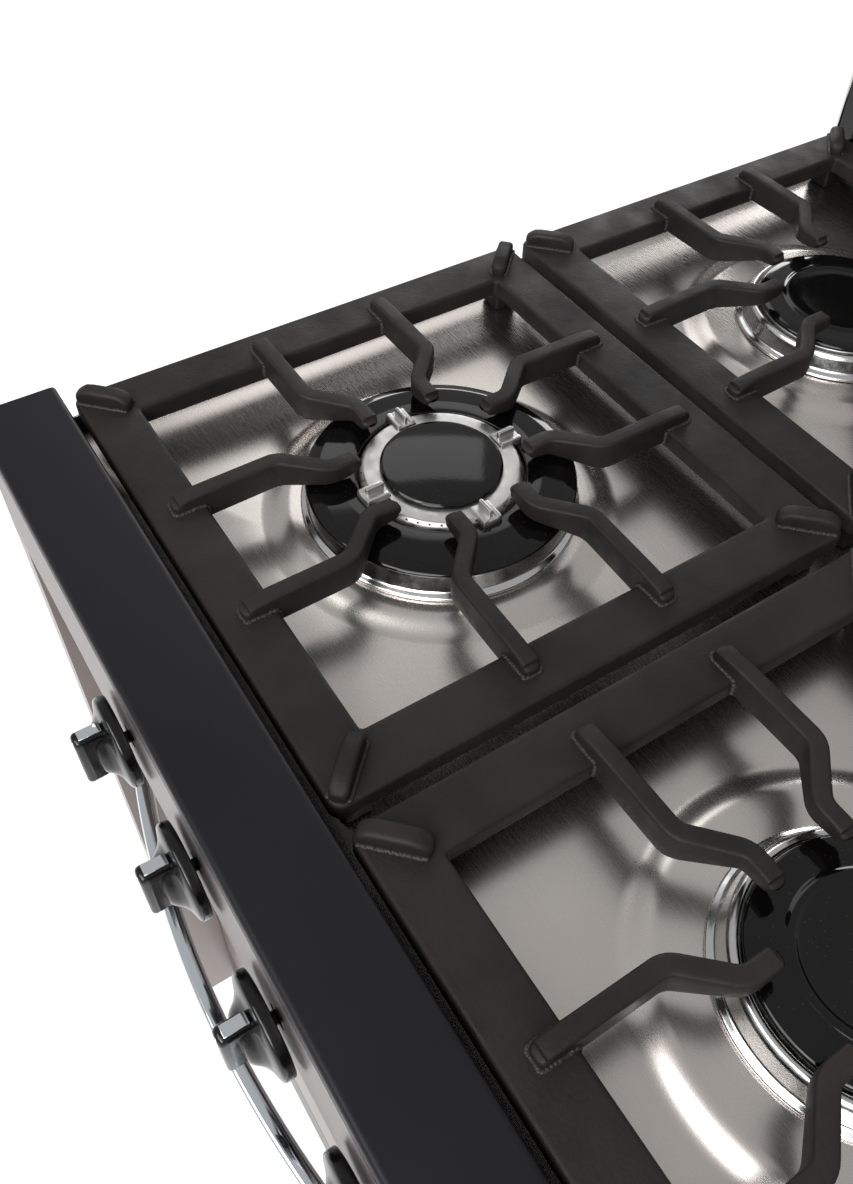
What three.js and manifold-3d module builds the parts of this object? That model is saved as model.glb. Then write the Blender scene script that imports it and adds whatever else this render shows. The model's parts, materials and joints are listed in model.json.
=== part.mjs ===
// Freestanding four-burner gas range, 24 inches wide, with an oven below.
// Millimetres, +Z up, +X to the right of a person facing the front, +Y towards the rear.
// The origin is on the floor, under the middle of the range.

import * as THREE from 'three';
import { mergeVertices } from 'three/addons/utils/BufferGeometryUtils.js';
import Module from 'manifold-3d';

const wasm = await Module();
wasm.setup();

// ---------------------------------------------------------------- driving sizes

// Grates
const GRATE_WIDTH = 295;
const GRATE_DEPTH = 292;
const GRATE_GAP = 9;
const FRAME_BAR = 28.5;
const FRAME_THICK = 12;
const FRAME_CORNER = 7;
const FINGER_THICK = 9;
const FINGER_RISE = 8.5;
const FINGER_SPREAD = 39;
const FINGER_CLOSE = 19.5;
const FINGER_TIP = 38;
const FINGER_BEND_PAST_RING = 4.5;
const FINGER_BEND_RUN = 21;
const FINGER_DROP = 10;
const FOOT_INSET = 12;
const LUG_LENGTH = 31;
const LUG_RISE = 9;
const GRATE_FOOT = 16;

// Casing
const SIDE_MARGIN = 5.5;
const SHEET = 1.2;
const COUNTER_TOP = 914;
const LEG_HEIGHT = 107;
const LEG_RADIUS = 19;
const LEG_INSET = 48;
const LEDGE_DEPTH = 46;
const LEDGE_GAP = 5.5;
const LEDGE_SHEET = 2;
const LEDGE_LIP = 10;
const LEDGE_ROUND = 3;
const PANEL_HEIGHT = 85;
const PANEL_FLANGE = 22;
const COLUMN_WIDTH = 24;
const GUARD_GAP = 5.5;
const GUARD_THICK = 18;
const GUARD_RISE = 120;
const REAR_SPACE = 22;
const LOWER_PANEL_HEIGHT = 65;

// Cooktop: how far each level lies below the counter top
const FRAME_BELOW_COUNTER = 6;
const COOKTOP_BELOW_FRAME = 30;
const DOME_RADIUS = 96;
const DOME_RISE = 5;
const RIM_RISE = 12;
const BURNER_HOLE = 38;

// Burners
const BASE_RADIUS = 75;
const SMALL_BASE_RADIUS = 62.5;
const BASE_WALL = 11;
const CUP_RADIUS = 36;
const CUP_DEPTH = 34;
const CROWN_RADIUS = 43;
const CAP_RADIUS = 32.5;
const RING_INSET = 3.5;
const CAP_INSET = 11.3;
const CAP_RIDGE_RADIUS = 33.5;
const BURNER_SIDES = 20;

// Knobs and valves
const KNOB_PITCH = 75;
const OVEN_KNOB_X = 212;
const KNOB_BELOW_COUNTER = 53;
const KNOB_RADIUS = 23;
const KNOB_LENGTH = 21.7;
const KNOB_GAP = 2.8;
const GRIP_WIDTH = 9;
const GRIP_HEIGHT = 35;
const SHAFT_RADIUS = 3;
const PLUG_RADIUS = 6.2;
const VALVE_BORE = 6.6;
const VALVE_LENGTH = 38;
const PIPE_RADIUS = 8;

// Door
const DOOR_RECESS = 38.5;
const DOOR_THICK = 32;
const DOOR_SIDE_GAP = 2.8;
const DOOR_TOP_GAP = 6;
const WINDOW_WIDTH = 400;
const WINDOW_HEIGHT = 260;
const GLASS_THICK = 4;
const GLASS_LAP = 12;
const HANDLE_BOW = 61;
const HANDLE_RADIUS = 539;
const HANDLE_THICK = 9;
const HANDLE_TALL = 20;
const HANDLE_STANDOFF = 5;
const HANDLE_BELOW_PANEL = 69;
const HINGE_PIN = 4;
const HINGE_BACK = 6.5;
const HINGE_UP = 6.5;

// Oven
const OVEN_WIDTH = 444;
const OVEN_DEPTH = 440;
const OVEN_HEIGHT = 430;
const OVEN_SHEET = 1.5;
const OVEN_ABOVE_DOOR_FOOT = 84;
const RIB = 8;
const RACK_WIRE = 3;
const RACK_LEVEL = 170;

// Clearance between pieces that touch, and running clearance of turning ones
const CLEAR = 0.3;
const RUNNING = 0.5;

// ---------------------------------------------------------------- worked-out places

const BODY_WIDTH = 2 * GRATE_WIDTH + GRATE_GAP + 2 * SIDE_MARGIN;
const HALF = BODY_WIDTH / 2;
const GRATES_DEPTH = 2 * GRATE_DEPTH + GRATE_GAP;
const KNOB_REACH = KNOB_GAP + KNOB_LENGTH;
const TOTAL_DEPTH = KNOB_REACH + LEDGE_DEPTH + LEDGE_GAP + GRATES_DEPTH + GUARD_GAP + GUARD_THICK + REAR_SPACE;
const FRONT = -TOTAL_DEPTH / 2 + KNOB_REACH;
const REAR = TOTAL_DEPTH / 2;
const GRATE_FRONT = FRONT + LEDGE_DEPTH + LEDGE_GAP;
const GUARD_FRONT = GRATE_FRONT + GRATES_DEPTH + GUARD_GAP;
const BOTTOM = LEG_HEIGHT;
const FRAME_TOP = COUNTER_TOP - FRAME_BELOW_COUNTER;
const COOKTOP = FRAME_TOP - COOKTOP_BELOW_FRAME;
const DOME_TOP = COOKTOP + DOME_RISE;
// The fingers bend down just outside the black ring, so that they pass clear of it.
const FINGER_BEND_OUTER = BASE_RADIUS - RING_INSET + FINGER_BEND_PAST_RING;
const FINGER_BEND_INNER = FINGER_BEND_OUTER - FINGER_BEND_RUN;
const PANEL_BOTTOM = COUNTER_TOP - PANEL_HEIGHT;
const PANEL_TOP = COUNTER_TOP - LEDGE_LIP - CLEAR;
const KNOB_Z = COUNTER_TOP - KNOB_BELOW_COUNTER;
const DOOR_FACE = FRONT + DOOR_RECESS;
const DOOR_BACK = DOOR_FACE + DOOR_THICK;
const DOOR_FOOT = BOTTOM + LOWER_PANEL_HEIGHT + 4;
const DOOR_TOP = PANEL_BOTTOM - DOOR_TOP_GAP;
const COLUMN_BACK = DOOR_BACK + 2;
const DOOR_HALF = HALF - COLUMN_WIDTH - DOOR_SIDE_GAP;
const HINGE_Y = DOOR_FACE + HINGE_BACK;
const HINGE_Z = DOOR_FOOT + HINGE_UP;
const WINDOW_Z = (DOOR_FOOT + DOOR_TOP) / 2 - 20;
const OVEN_FRONT = COLUMN_BACK + CLEAR;
const OVEN_FLOOR = DOOR_FOOT + OVEN_ABOVE_DOOR_FOOT;
const BURNER_X = (GRATE_WIDTH + GRATE_GAP) / 2;
const BURNER_FRONT_Y = GRATE_FRONT + GRATE_DEPTH / 2;
const BURNER_REAR_Y = BURNER_FRONT_Y + GRATE_DEPTH + GRATE_GAP;

const BURNERS = [
  { name: 'front_left', x: -BURNER_X, y: BURNER_FRONT_Y },
  { name: 'front_right', x: BURNER_X, y: BURNER_FRONT_Y },
  { name: 'rear_left', x: -BURNER_X, y: BURNER_REAR_Y },
  { name: 'rear_right', x: BURNER_X, y: BURNER_REAR_Y },
];
const LARGE_BURNER = 'front_left';

const CONTROLS = [
  { name: 'front_left', x: -1.5 * KNOB_PITCH },
  { name: 'rear_left', x: -0.5 * KNOB_PITCH },
  { name: 'rear_right', x: 0.5 * KNOB_PITCH },
  { name: 'front_right', x: 1.5 * KNOB_PITCH },
  { name: 'oven', x: OVEN_KNOB_X },
];

// ---------------------------------------------------------------- materials

function material(name, color, roughness, metalness, opacity = 1) {
  return new THREE.MeshStandardMaterial({
    name, color, roughness, metalness, opacity, transparent: opacity < 1,
  });
}

const MATERIALS = {
  castIron: material('cast_iron', 0x3a3635, 0.75, 0.2),
  stainless: material('stainless', 0xb8b0ad, 0.35, 1),
  chrome: material('chrome', 0xd5dce0, 0.12, 1),
  charcoal: material('charcoal_enamel', 0x323236, 0.5, 0.1),
  blackEnamel: material('black_enamel', 0x141213, 0.15, 0),
  blackPlastic: material('black_plastic', 0x151516, 0.3, 0),
  aluminium: material('aluminium', 0xa9a9a8, 0.5, 1),
  brass: material('brass', 0xb08d4f, 0.4, 1),
  darkEnamel: material('oven_enamel', 0x2a2a2d, 0.35, 0),
  galvanised: material('galvanised', 0x9a9c9e, 0.55, 0.9),
  glass: material('glass', 0x1a1c1e, 0.05, 0, 0.5),
};

// ---------------------------------------------------------------- solids

function manifoldOf(positions, triangles) {
  return new wasm.Manifold(new wasm.Mesh({
    numProp: 3,
    vertProperties: new Float32Array(positions),
    triVerts: new Uint32Array(triangles),
  }));
}

function solid(geometry) {
  const bare = geometry.clone();
  for (const key of Object.keys(bare.attributes)) {
    if (key !== 'position') bare.deleteAttribute(key);
  }
  const merged = mergeVertices(bare, 1e-4);
  return manifoldOf(merged.attributes.position.array, merged.index.array);
}

function toGeometry(body) {
  const mesh = body.getMesh();
  const indexed = new THREE.BufferGeometry();
  indexed.setAttribute('position', new THREE.BufferAttribute(new Float32Array(mesh.vertProperties), 3));
  indexed.setIndex(new THREE.BufferAttribute(new Uint32Array(mesh.triVerts), 1));
  const flat = indexed.toNonIndexed();
  flat.computeVertexNormals();
  return flat;
}

function join(...bodies) {
  return bodies.reduce((sum, body) => sum.add(body));
}

function cut(body, ...tools) {
  return tools.reduce((rest, tool) => rest.subtract(tool), body);
}

// A box between two corners.
function box(x0, x1, y0, y1, z0, z1) {
  const geometry = new THREE.BoxGeometry(x1 - x0, y1 - y0, z1 - z0);
  geometry.translate((x0 + x1) / 2, (y0 + y1) / 2, (z0 + z1) / 2);
  return solid(geometry);
}

// A box of equal half width on both sides of the middle.
function wideBox(half, y0, y1, z0, z1) {
  return box(-half, half, y0, y1, z0, z1);
}

function shapeOf(points) {
  return new THREE.Shape(points.map(([a, b]) => new THREE.Vector2(a, b)));
}

// A plan outline raised from z0 to z1.
function slab(shape, z0, z1, curveSegments = 4) {
  const geometry = new THREE.ExtrudeGeometry(shape, { depth: z1 - z0, bevelEnabled: false, curveSegments });
  geometry.translate(0, 0, z0);
  return solid(geometry);
}

// A (y, z) section drawn along X from x0 to x1.
function section(shape, x0, x1, curveSegments = 4) {
  const geometry = new THREE.ExtrudeGeometry(shape, { depth: x1 - x0, bevelEnabled: false, curveSegments });
  geometry.applyMatrix4(new THREE.Matrix4().set(0, 0, 1, x0, 1, 0, 0, 0, 0, 1, 0, 0, 0, 0, 0, 1));
  return solid(geometry);
}

function roundedRect(width, height, radius) {
  const [w, h, r] = [width / 2, height / 2, radius];
  const shape = new THREE.Shape();
  shape.absarc(w - r, h - r, r, 0, Math.PI / 2);
  shape.absarc(r - w, h - r, r, Math.PI / 2, Math.PI);
  shape.absarc(r - w, r - h, r, Math.PI, 1.5 * Math.PI);
  shape.absarc(w - r, r - h, r, 1.5 * Math.PI, 2 * Math.PI);
  shape.closePath();
  return shape;
}

function rotated(body, axis, degrees) {
  return moved(body, new THREE.Matrix4().makeRotationAxis(axis, THREE.MathUtils.degToRad(degrees)));
}

function shifted(body, x, y, z) {
  return moved(body, new THREE.Matrix4().makeTranslation(x, y, z));
}

// A mirror image turns its triangles round, so that they still face out.
function moved(body, matrix) {
  const mesh = body.getMesh();
  const positions = new THREE.BufferAttribute(new Float32Array(mesh.vertProperties), 3).applyMatrix4(matrix);
  const triangles = [...mesh.triVerts];
  if (matrix.determinant() < 0) triangles.reverse();
  return manifoldOf(positions.array, triangles);
}

const X_AXIS = new THREE.Vector3(1, 0, 0);
const Y_AXIS = new THREE.Vector3(0, 1, 0);
const Z_AXIS = new THREE.Vector3(0, 0, 1);

// A turned piece about Z from (radius, z) points; a profile off the axis closes on itself.
function turned(points, sides = BURNER_SIDES) {
  const onAxis = points[0][0] === 0;
  const closed = onAxis ? points : [...points, points[0]];
  const geometry = new THREE.LatheGeometry(closed.map(([r, z]) => new THREE.Vector2(r, z)), sides);
  geometry.rotateX(Math.PI / 2);
  return solid(geometry);
}

// A round bar from one point to another.
function bar(from, to, radius, sides = 12) {
  const start = new THREE.Vector3(...from);
  const end = new THREE.Vector3(...to);
  const span = end.clone().sub(start);
  const geometry = new THREE.CylinderGeometry(radius, radius, span.length(), sides);
  const turn = new THREE.Quaternion().setFromUnitVectors(Y_AXIS, span.clone().normalize());
  geometry.applyQuaternion(turn);
  geometry.translate(...start.add(end).multiplyScalar(0.5).toArray());
  return solid(geometry);
}

function mirroredX(body) {
  return moved(body, new THREE.Matrix4().makeScale(-1, 1, 1));
}

function mirroredY(body) {
  return moved(body, new THREE.Matrix4().makeScale(1, -1, 1));
}

// ---------------------------------------------------------------- the scene graph

const range = new THREE.Group();
range.name = 'gas_range';

function add(name, body, finish, x = 0, y = 0, z = 0) {
  const mesh = new THREE.Mesh(toGeometry(body), MATERIALS[finish]);
  mesh.name = name;
  mesh.position.set(x, y, z);
  range.add(mesh);
}

// ---------------------------------------------------------------- casing

// Left side: a skin with a boxed column along its front edge and a flange along its rear edge.
function sidePanel() {
  const [outer, inner] = [-HALF, -HALF + COLUMN_WIDTH];
  const back = REAR - SHEET - CLEAR;
  const column = shapeOf([
    [outer, FRONT], [inner, FRONT], [inner, COLUMN_BACK], [inner - SHEET, COLUMN_BACK],
    [inner - SHEET, FRONT + SHEET], [outer + SHEET, FRONT + SHEET], [outer + SHEET, back - SHEET],
    [outer + 15, back - SHEET], [outer + 15, back], [outer, back],
  ]);
  const skinTop = COOKTOP - SHEET - CLEAR;
  const lower = slab(column, BOTTOM, PANEL_BOTTOM - CLEAR);
  const upper = box(outer, outer + SHEET, FRONT + SHEET + CLEAR, back, PANEL_BOTTOM - 5, skinTop);
  return join(lower, upper);
}

function rearPanel() {
  const top = COOKTOP - SHEET - CLEAR;
  const slots = [];
  for (let row = 0; row < 2; row += 1) {
    for (let column = -3; column <= 3; column += 1) {
      const [x, z] = [column * 66, top - 60 - row * 28];
      slots.push(box(x - 24, x + 24, REAR - 5, REAR + 1, z - 5, z + 5));
    }
  }
  const inlet = bar([HALF - 30, REAR - 5, KNOB_Z], [HALF - 30, REAR + 1, KNOB_Z], PIPE_RADIUS + 3, 16);
  return cut(wideBox(HALF, REAR - SHEET, REAR, BOTTOM, top), ...slots, inlet);
}

function basePan() {
  const half = HALF - SHEET - CLEAR;
  const [front, back] = [COLUMN_BACK + CLEAR, REAR - 2 * SHEET - 2 * CLEAR];
  const outer = wideBox(half, front, back, BOTTOM, BOTTOM + 18);
  const inner = wideBox(half - SHEET, front + SHEET, back - SHEET, BOTTOM + SHEET, BOTTOM + 19);
  return cut(outer, inner);
}

function lowerFrontPanel() {
  const half = HALF - COLUMN_WIDTH - CLEAR;
  const outer = wideBox(half, DOOR_FACE, COLUMN_BACK, BOTTOM, BOTTOM + LOWER_PANEL_HEIGHT);
  const inner = wideBox(half - SHEET, DOOR_FACE + SHEET, COLUMN_BACK + 1, BOTTOM + SHEET,
    BOTTOM + LOWER_PANEL_HEIGHT - SHEET);
  return cut(outer, inner);
}

function controlPanel() {
  const flangeHalf = HALF - SHEET - CLEAR;
  const face = wideBox(HALF, FRONT, FRONT + SHEET, PANEL_BOTTOM, PANEL_TOP);
  const lower = wideBox(flangeHalf, FRONT, FRONT + PANEL_FLANGE, PANEL_BOTTOM, PANEL_BOTTOM + SHEET);
  const upper = wideBox(flangeHalf, FRONT, FRONT + PANEL_FLANGE, PANEL_TOP - SHEET, PANEL_TOP);
  const holes = CONTROLS.map(({ x }) => bar([x, FRONT - 1, KNOB_Z], [x, FRONT + 3, KNOB_Z], SHAFT_RADIUS + 3, 16));
  return cut(join(face, lower, upper), ...holes);
}

// The dark counter strip in front of the grates, folded down at the front and at the rear.
function frontLedge() {
  const [back, top, t, r] = [FRONT + LEDGE_DEPTH, COUNTER_TOP, LEDGE_SHEET, LEDGE_ROUND];
  const shape = new THREE.Shape();
  shape.moveTo(FRONT, top - LEDGE_LIP);
  shape.absarc(FRONT + r, top - r, r, Math.PI, Math.PI / 2, true);
  shape.absarc(back - r, top - r, r, Math.PI / 2, 0, true);
  shape.lineTo(back, COOKTOP + CLEAR);
  shape.lineTo(back - t, COOKTOP + CLEAR);
  shape.lineTo(back - t, top - t);
  shape.lineTo(FRONT + t, top - t);
  shape.lineTo(FRONT + t, top - LEDGE_LIP);
  shape.closePath();
  return section(shape, -HALF, HALF);
}

// Stamped stainless sheet: a shallow round dome under each burner and a rim along both sides.
function cooktop() {
  const front = FRONT + SHEET + CLEAR;
  const sheet = wideBox(HALF, front, REAR, COOKTOP - SHEET, COOKTOP);
  const inner = DOME_RADIUS - 14;
  const dome = turned([
    [0, COOKTOP - SHEET / 2], [DOME_RADIUS, COOKTOP - SHEET / 2], [DOME_RADIUS, COOKTOP],
    [DOME_RADIUS - 6, COOKTOP + DOME_RISE * 0.6], [inner, DOME_TOP], [0, DOME_TOP],
  ]);
  const hollow = turned([
    [0, COOKTOP - SHEET - 1], [DOME_RADIUS - 3, COOKTOP - SHEET - 1], [DOME_RADIUS - 7, COOKTOP - SHEET],
    [inner, DOME_TOP - SHEET], [0, DOME_TOP - SHEET],
  ]);
  const hole = turned([[0, COOKTOP - 9], [BURNER_HOLE, COOKTOP - 9], [BURNER_HOLE, DOME_TOP + 9], [0, DOME_TOP + 9]]);
  const rimFront = FRONT + LEDGE_DEPTH + CLEAR;
  const rimBack = GUARD_FRONT - CLEAR;
  const rim = box(-HALF, -HALF + SHEET, rimFront, rimBack, COOKTOP - SHEET, COOKTOP + RIM_RISE);
  const domes = BURNERS.map(({ x, y }) => shifted(dome, x, y, 0));
  const hollows = BURNERS.map(({ x, y }) => shifted(hollow, x, y, 0));
  const holes = BURNERS.map(({ x, y }) => shifted(hole, x, y, 0));
  return cut(join(sheet, rim, mirroredX(rim), ...domes), ...hollows, ...holes);
}

// A folded sheet cover, open at its foot.
function backGuard() {
  const [foot, top] = [COOKTOP + CLEAR, COUNTER_TOP + GUARD_RISE];
  const outline = (inset, low) => {
    const [front, back, r] = [GUARD_FRONT + inset, GUARD_FRONT + GUARD_THICK - inset, 4 - inset];
    const shape = new THREE.Shape();
    shape.moveTo(front, low);
    shape.lineTo(back, low);
    shape.absarc(back - r, top - inset - r, r, 0, Math.PI / 2);
    shape.absarc(front + r, top - inset - r, r, Math.PI / 2, Math.PI);
    shape.closePath();
    return shape;
  };
  const outer = section(outline(0, foot), -HALF, HALF);
  return cut(outer, section(outline(SHEET, foot - 1), -HALF + SHEET, HALF - SHEET));
}

// An adjustable leg: sleeve, threaded stem and foot pad.
function leg() {
  return turned([
    [0, 0], [LEG_RADIUS + 2, 0], [LEG_RADIUS + 2, 6], [10, 10], [7, 10], [7, 26], [LEG_RADIUS, 28],
    [LEG_RADIUS, LEG_HEIGHT - 6], [LEG_RADIUS + 8, LEG_HEIGHT - 4], [LEG_RADIUS + 8, LEG_HEIGHT - CLEAR],
    [0, LEG_HEIGHT - CLEAR],
  ], 12);
}

// ---------------------------------------------------------------- grates

// Plan of one bent finger: foot, run in, jog towards the middle line, and straight tip. s runs out from the burner.
function fingerPlan(reach) {
  const path = [
    [reach, FINGER_SPREAD], [FINGER_BEND_OUTER, FINGER_SPREAD],
    [FINGER_BEND_INNER, FINGER_CLOSE], [FINGER_TIP, FINGER_CLOSE],
  ].map(([s, t]) => new THREE.Vector2(s, t));
  const sides = [[], []];
  path.forEach((point, i) => {
    const before = path[Math.max(i - 1, 0)];
    const after = path[Math.min(i + 1, path.length - 1)];
    const normals = [[before, point], [point, after]].filter(([a, b]) => a !== b)
      .map(([a, b]) => new THREE.Vector2(a.y - b.y, b.x - a.x).normalize());
    const miter = normals.reduce((sum, n) => sum.clone().add(n)).normalize();
    const width = FINGER_THICK / 2 / miter.dot(normals[0]);
    sides[0].push(point.clone().addScaledVector(miter, width));
    sides[1].unshift(point.clone().addScaledVector(miter, -width));
  });
  return new THREE.Shape([...sides[0], ...sides[1]]);
}

// Side view of a finger: low at its foot, level over the burner, deepest where it leaves the frame.
function fingerSide(reach, barInner) {
  return shapeOf([
    [reach, -2], [reach, FINGER_RISE * 0.6], [reach - 4, FINGER_RISE * 0.85],
    [FINGER_BEND_OUTER, FINGER_RISE], [FINGER_TIP + 2, FINGER_RISE], [FINGER_TIP, FINGER_RISE - 2],
    [FINGER_TIP, FINGER_RISE - 6], [FINGER_TIP + 4, FINGER_RISE - 8.5], [FINGER_BEND_INNER, -2.5],
    [FINGER_BEND_OUTER, -FINGER_DROP + 1.5], [barInner + 5, -FINGER_DROP],
  ]);
}

function finger(halfSize) {
  const reach = halfSize - FOOT_INSET;
  const plan = slab(fingerPlan(reach), -FINGER_DROP - 5, FINGER_RISE + 5);
  const depth = 2 * FINGER_SPREAD + 40;
  const geometry = new THREE.ExtrudeGeometry(fingerSide(reach, halfSize - FRAME_BAR), { depth, bevelEnabled: false });
  geometry.rotateX(Math.PI / 2);
  geometry.translate(0, depth / 2, 0);
  return plan.intersect(solid(geometry));
}

function lug() {
  const [half, rise] = [LUG_LENGTH / 2, LUG_RISE];
  const geometry = new THREE.ExtrudeGeometry(
    shapeOf([[-half, -1], [half, -1], [half, rise - 3], [half - 4, rise], [4 - half, rise], [-half, rise - 3]]),
    { depth: FINGER_THICK, bevelEnabled: false });
  geometry.rotateX(Math.PI / 2);
  geometry.translate(0, FINGER_THICK / 2, 0);
  return solid(geometry);
}

// One cast grate; its origin is the middle of the frame's top face.
function grate() {
  const frameShape = roundedRect(GRATE_WIDTH, GRATE_DEPTH, FRAME_CORNER);
  frameShape.holes.push(roundedRect(GRATE_WIDTH - 2 * FRAME_BAR, GRATE_DEPTH - 2 * FRAME_BAR, 3));
  let body = slab(frameShape, -FRAME_THICK, 0, 3);
  for (let side = 0; side < 4; side += 1) {
    const one = finger((side % 2 === 0 ? GRATE_WIDTH : GRATE_DEPTH) / 2);
    const pair = join(one, mirroredY(one));
    body = body.add(rotated(pair, Z_AXIS, 90 * side));
  }
  for (const [sx, sy] of [[-1, -1], [1, -1], [1, 1], [-1, 1]]) {
    const [x, y] = [sx * (GRATE_WIDTH - FRAME_BAR) / 2, sy * (GRATE_DEPTH - FRAME_BAR) / 2];
    body = body.add(shifted(rotated(lug(), Z_AXIS, 45 * sx * sy), x, y, 0));
    const half = GRATE_FOOT / 2;
    body = body.add(box(x - half, x + half, y - half, y + half, -COOKTOP_BELOW_FRAME + CLEAR, -FRAME_THICK + 1));
  }
  return body;
}

// ---------------------------------------------------------------- burners

// The base: a bright flanged wall standing on the dome, with the gas cup below it.
function burnerBase(radius) {
  const wall = radius - 4;
  return turned([
    [14, -CUP_DEPTH], [CUP_RADIUS, -CUP_DEPTH], [CUP_RADIUS, CLEAR], [radius, CLEAR], [radius, 2.2],
    [wall, 4], [wall - 2, BASE_WALL + 1], [wall - 5, BASE_WALL + 3], [wall - 8, BASE_WALL],
    [wall - 8, 4], [CUP_RADIUS - 2, 4], [CUP_RADIUS - 2, 2 - CUP_DEPTH], [14, 2 - CUP_DEPTH],
  ]);
}

// The large burner's aluminium crown: spreader plate, port wall, and four bridge blocks with a fin each.
function burnerCrown() {
  const plate = BASE_RADIUS - 14;
  let body = turned([
    [CAP_RADIUS - 5, 4 + CLEAR], [plate - 1, 4 + CLEAR], [plate + 1, 14], [CROWN_RADIUS + 1, 14],
    [CROWN_RADIUS, 20], [CROWN_RADIUS - 2, 22], [CAP_RADIUS - 2, 22], [CAP_RADIUS - 5, 18],
  ]);
  for (let k = 0; k < 4; k += 1) {
    const block = box(CAP_RADIUS + 1.5, CROWN_RADIUS + 5, -6, 6, 21, 24);
    const fin = box(CAP_RADIUS + 3, CROWN_RADIUS + 3, -1.3, 1.3, 23, 28);
    const post = box(CAP_RADIUS + 1.5, CROWN_RADIUS - 1, -6, 6, 19, 22);
    body = body.add(rotated(join(block, fin, post), Z_AXIS, 90 * k));
  }
  return body;
}

// The large burner's outer black ring. It lies on the spreader plate, under the bridge blocks.
function ringCap() {
  const [inner, outer] = [CROWN_RADIUS + 1.8, BASE_RADIUS - RING_INSET];
  return turned([
    [inner, 14 + CLEAR], [outer, 14.6], [outer + 0.5, 16.2], [outer - 5, 18.8], [inner + 8, 20], [inner, 19.4],
  ]);
}

// The domed centre cap with the spigot that centres it in the crown.
function centreCap() {
  const [rim, spigot] = [22 + CLEAR, CAP_RADIUS - 8];
  return turned([
    [0, 16], [spigot, 16], [spigot, rim], [CAP_RADIUS - 1, rim], [CAP_RADIUS, rim + 1.2],
    [CAP_RADIUS - 1.5, rim + 2.8], [CAP_RADIUS - 12, rim + 3.9], [0, rim + 4.4],
  ]);
}

// The plain port ring of the other three burners.
function smallCrown() {
  const [inner, outer] = [SMALL_BASE_RADIUS - 30, SMALL_BASE_RADIUS - 13];
  return turned([
    [inner, 4 + CLEAR], [outer, 4 + CLEAR], [outer, 13], [outer - 2, 14], [inner, 14],
  ]);
}

// Their one-piece black cap: a shallow disc with a raised ridge round its middle and a spigot below.
function smallCap() {
  const [rim, spigot, ridge] = [SMALL_BASE_RADIUS - CAP_INSET, SMALL_BASE_RADIUS - 30 - 1.5, CAP_RIDGE_RADIUS];
  return turned([
    [0, 8], [spigot, 8], [spigot, 14 + CLEAR], [rim - 1, 14 + CLEAR], [rim, 15.4], [rim - 1, 17],
    [ridge + 3, 18.4], [ridge + 1, 19.4], [ridge - 1, 19.4], [ridge - 2.5, 18], [0, 17.6],
  ]);
}

// ---------------------------------------------------------------- gas train

// Knobs, plugs and valves are drawn along -Y from the panel's face, with y = 0 on that face.

function outward(body) {
  return rotated(body, X_AXIS, 90);
}

function knob() {
  const r = KNOB_RADIUS;
  const back = KNOB_GAP;
  const front = KNOB_GAP + KNOB_LENGTH;
  const skirt = turned([
    [0, back], [r, back], [r, back + 5.5], [r - 2, back + 6.5], [r - 8, back + 8], [12, back + 11.5],
    [10, back + 14], [0, back + 14],
  ], 20);
  const shaft = turned([[0, -14], [SHAFT_RADIUS, -14], [SHAFT_RADIUS, back + 1], [0, back + 1]], 12);
  const [w, h] = [GRIP_WIDTH / 2, GRIP_HEIGHT / 2];
  const grip = slab(roundedRect(2 * w, 2 * h, 2.5), back + 6, front - 1.5, 2);
  const nose = slab(roundedRect(2 * w - 2, 2 * h - 2, 1.8), front - 2, front, 2);
  return outward(join(skirt, shaft, grip, nose));
}

function valvePlug() {
  const [front, back] = [-5, -25];
  return outward(turned([
    [0, back], [PLUG_RADIUS, back], [PLUG_RADIUS, front], [SHAFT_RADIUS + RUNNING, front],
    [SHAFT_RADIUS + RUNNING, front - 15], [0, front - 15],
  ], 16));
}

function valve() {
  const body = box(-13, 13, 12, VALVE_LENGTH, -14, 14);
  const boss = bar([0, 3, 0], [0, 14, 0], 11, 16);
  const outlet = bar([0, VALVE_LENGTH - 10, -22], [0, VALVE_LENGTH - 10, -10], 5, 10);
  const bore = bar([0, 2, 0], [0, 26, 0], VALVE_BORE, 20);
  return cut(join(body, boss, outlet), bore);
}

// The manifold runs behind the valves, turns back along the right side and ends at the rear panel.
function gasManifold() {
  const y = FRONT + VALVE_LENGTH + CLEAR + PIPE_RADIUS;
  const [corner, bend] = [HALF - 30, 20];
  const across = bar([-1.5 * KNOB_PITCH - 30, y, KNOB_Z], [corner - bend + 1, y, KNOB_Z], PIPE_RADIUS);
  const along = bar([corner, y + bend - 1, KNOB_Z], [corner, REAR - 4, KNOB_Z], PIPE_RADIUS);
  const path = new THREE.QuadraticBezierCurve3(
    new THREE.Vector3(corner - bend, y, KNOB_Z), new THREE.Vector3(corner, y, KNOB_Z),
    new THREE.Vector3(corner, y + bend, KNOB_Z));
  const round = new THREE.Shape();
  round.absarc(0, 0, PIPE_RADIUS, 0, 2 * Math.PI);
  const elbow = new THREE.ExtrudeGeometry(round, {
    steps: 5, curveSegments: 12, extrudePath: path, bevelEnabled: false,
  });
  return join(across, along, solid(elbow));
}

// ---------------------------------------------------------------- oven

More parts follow.
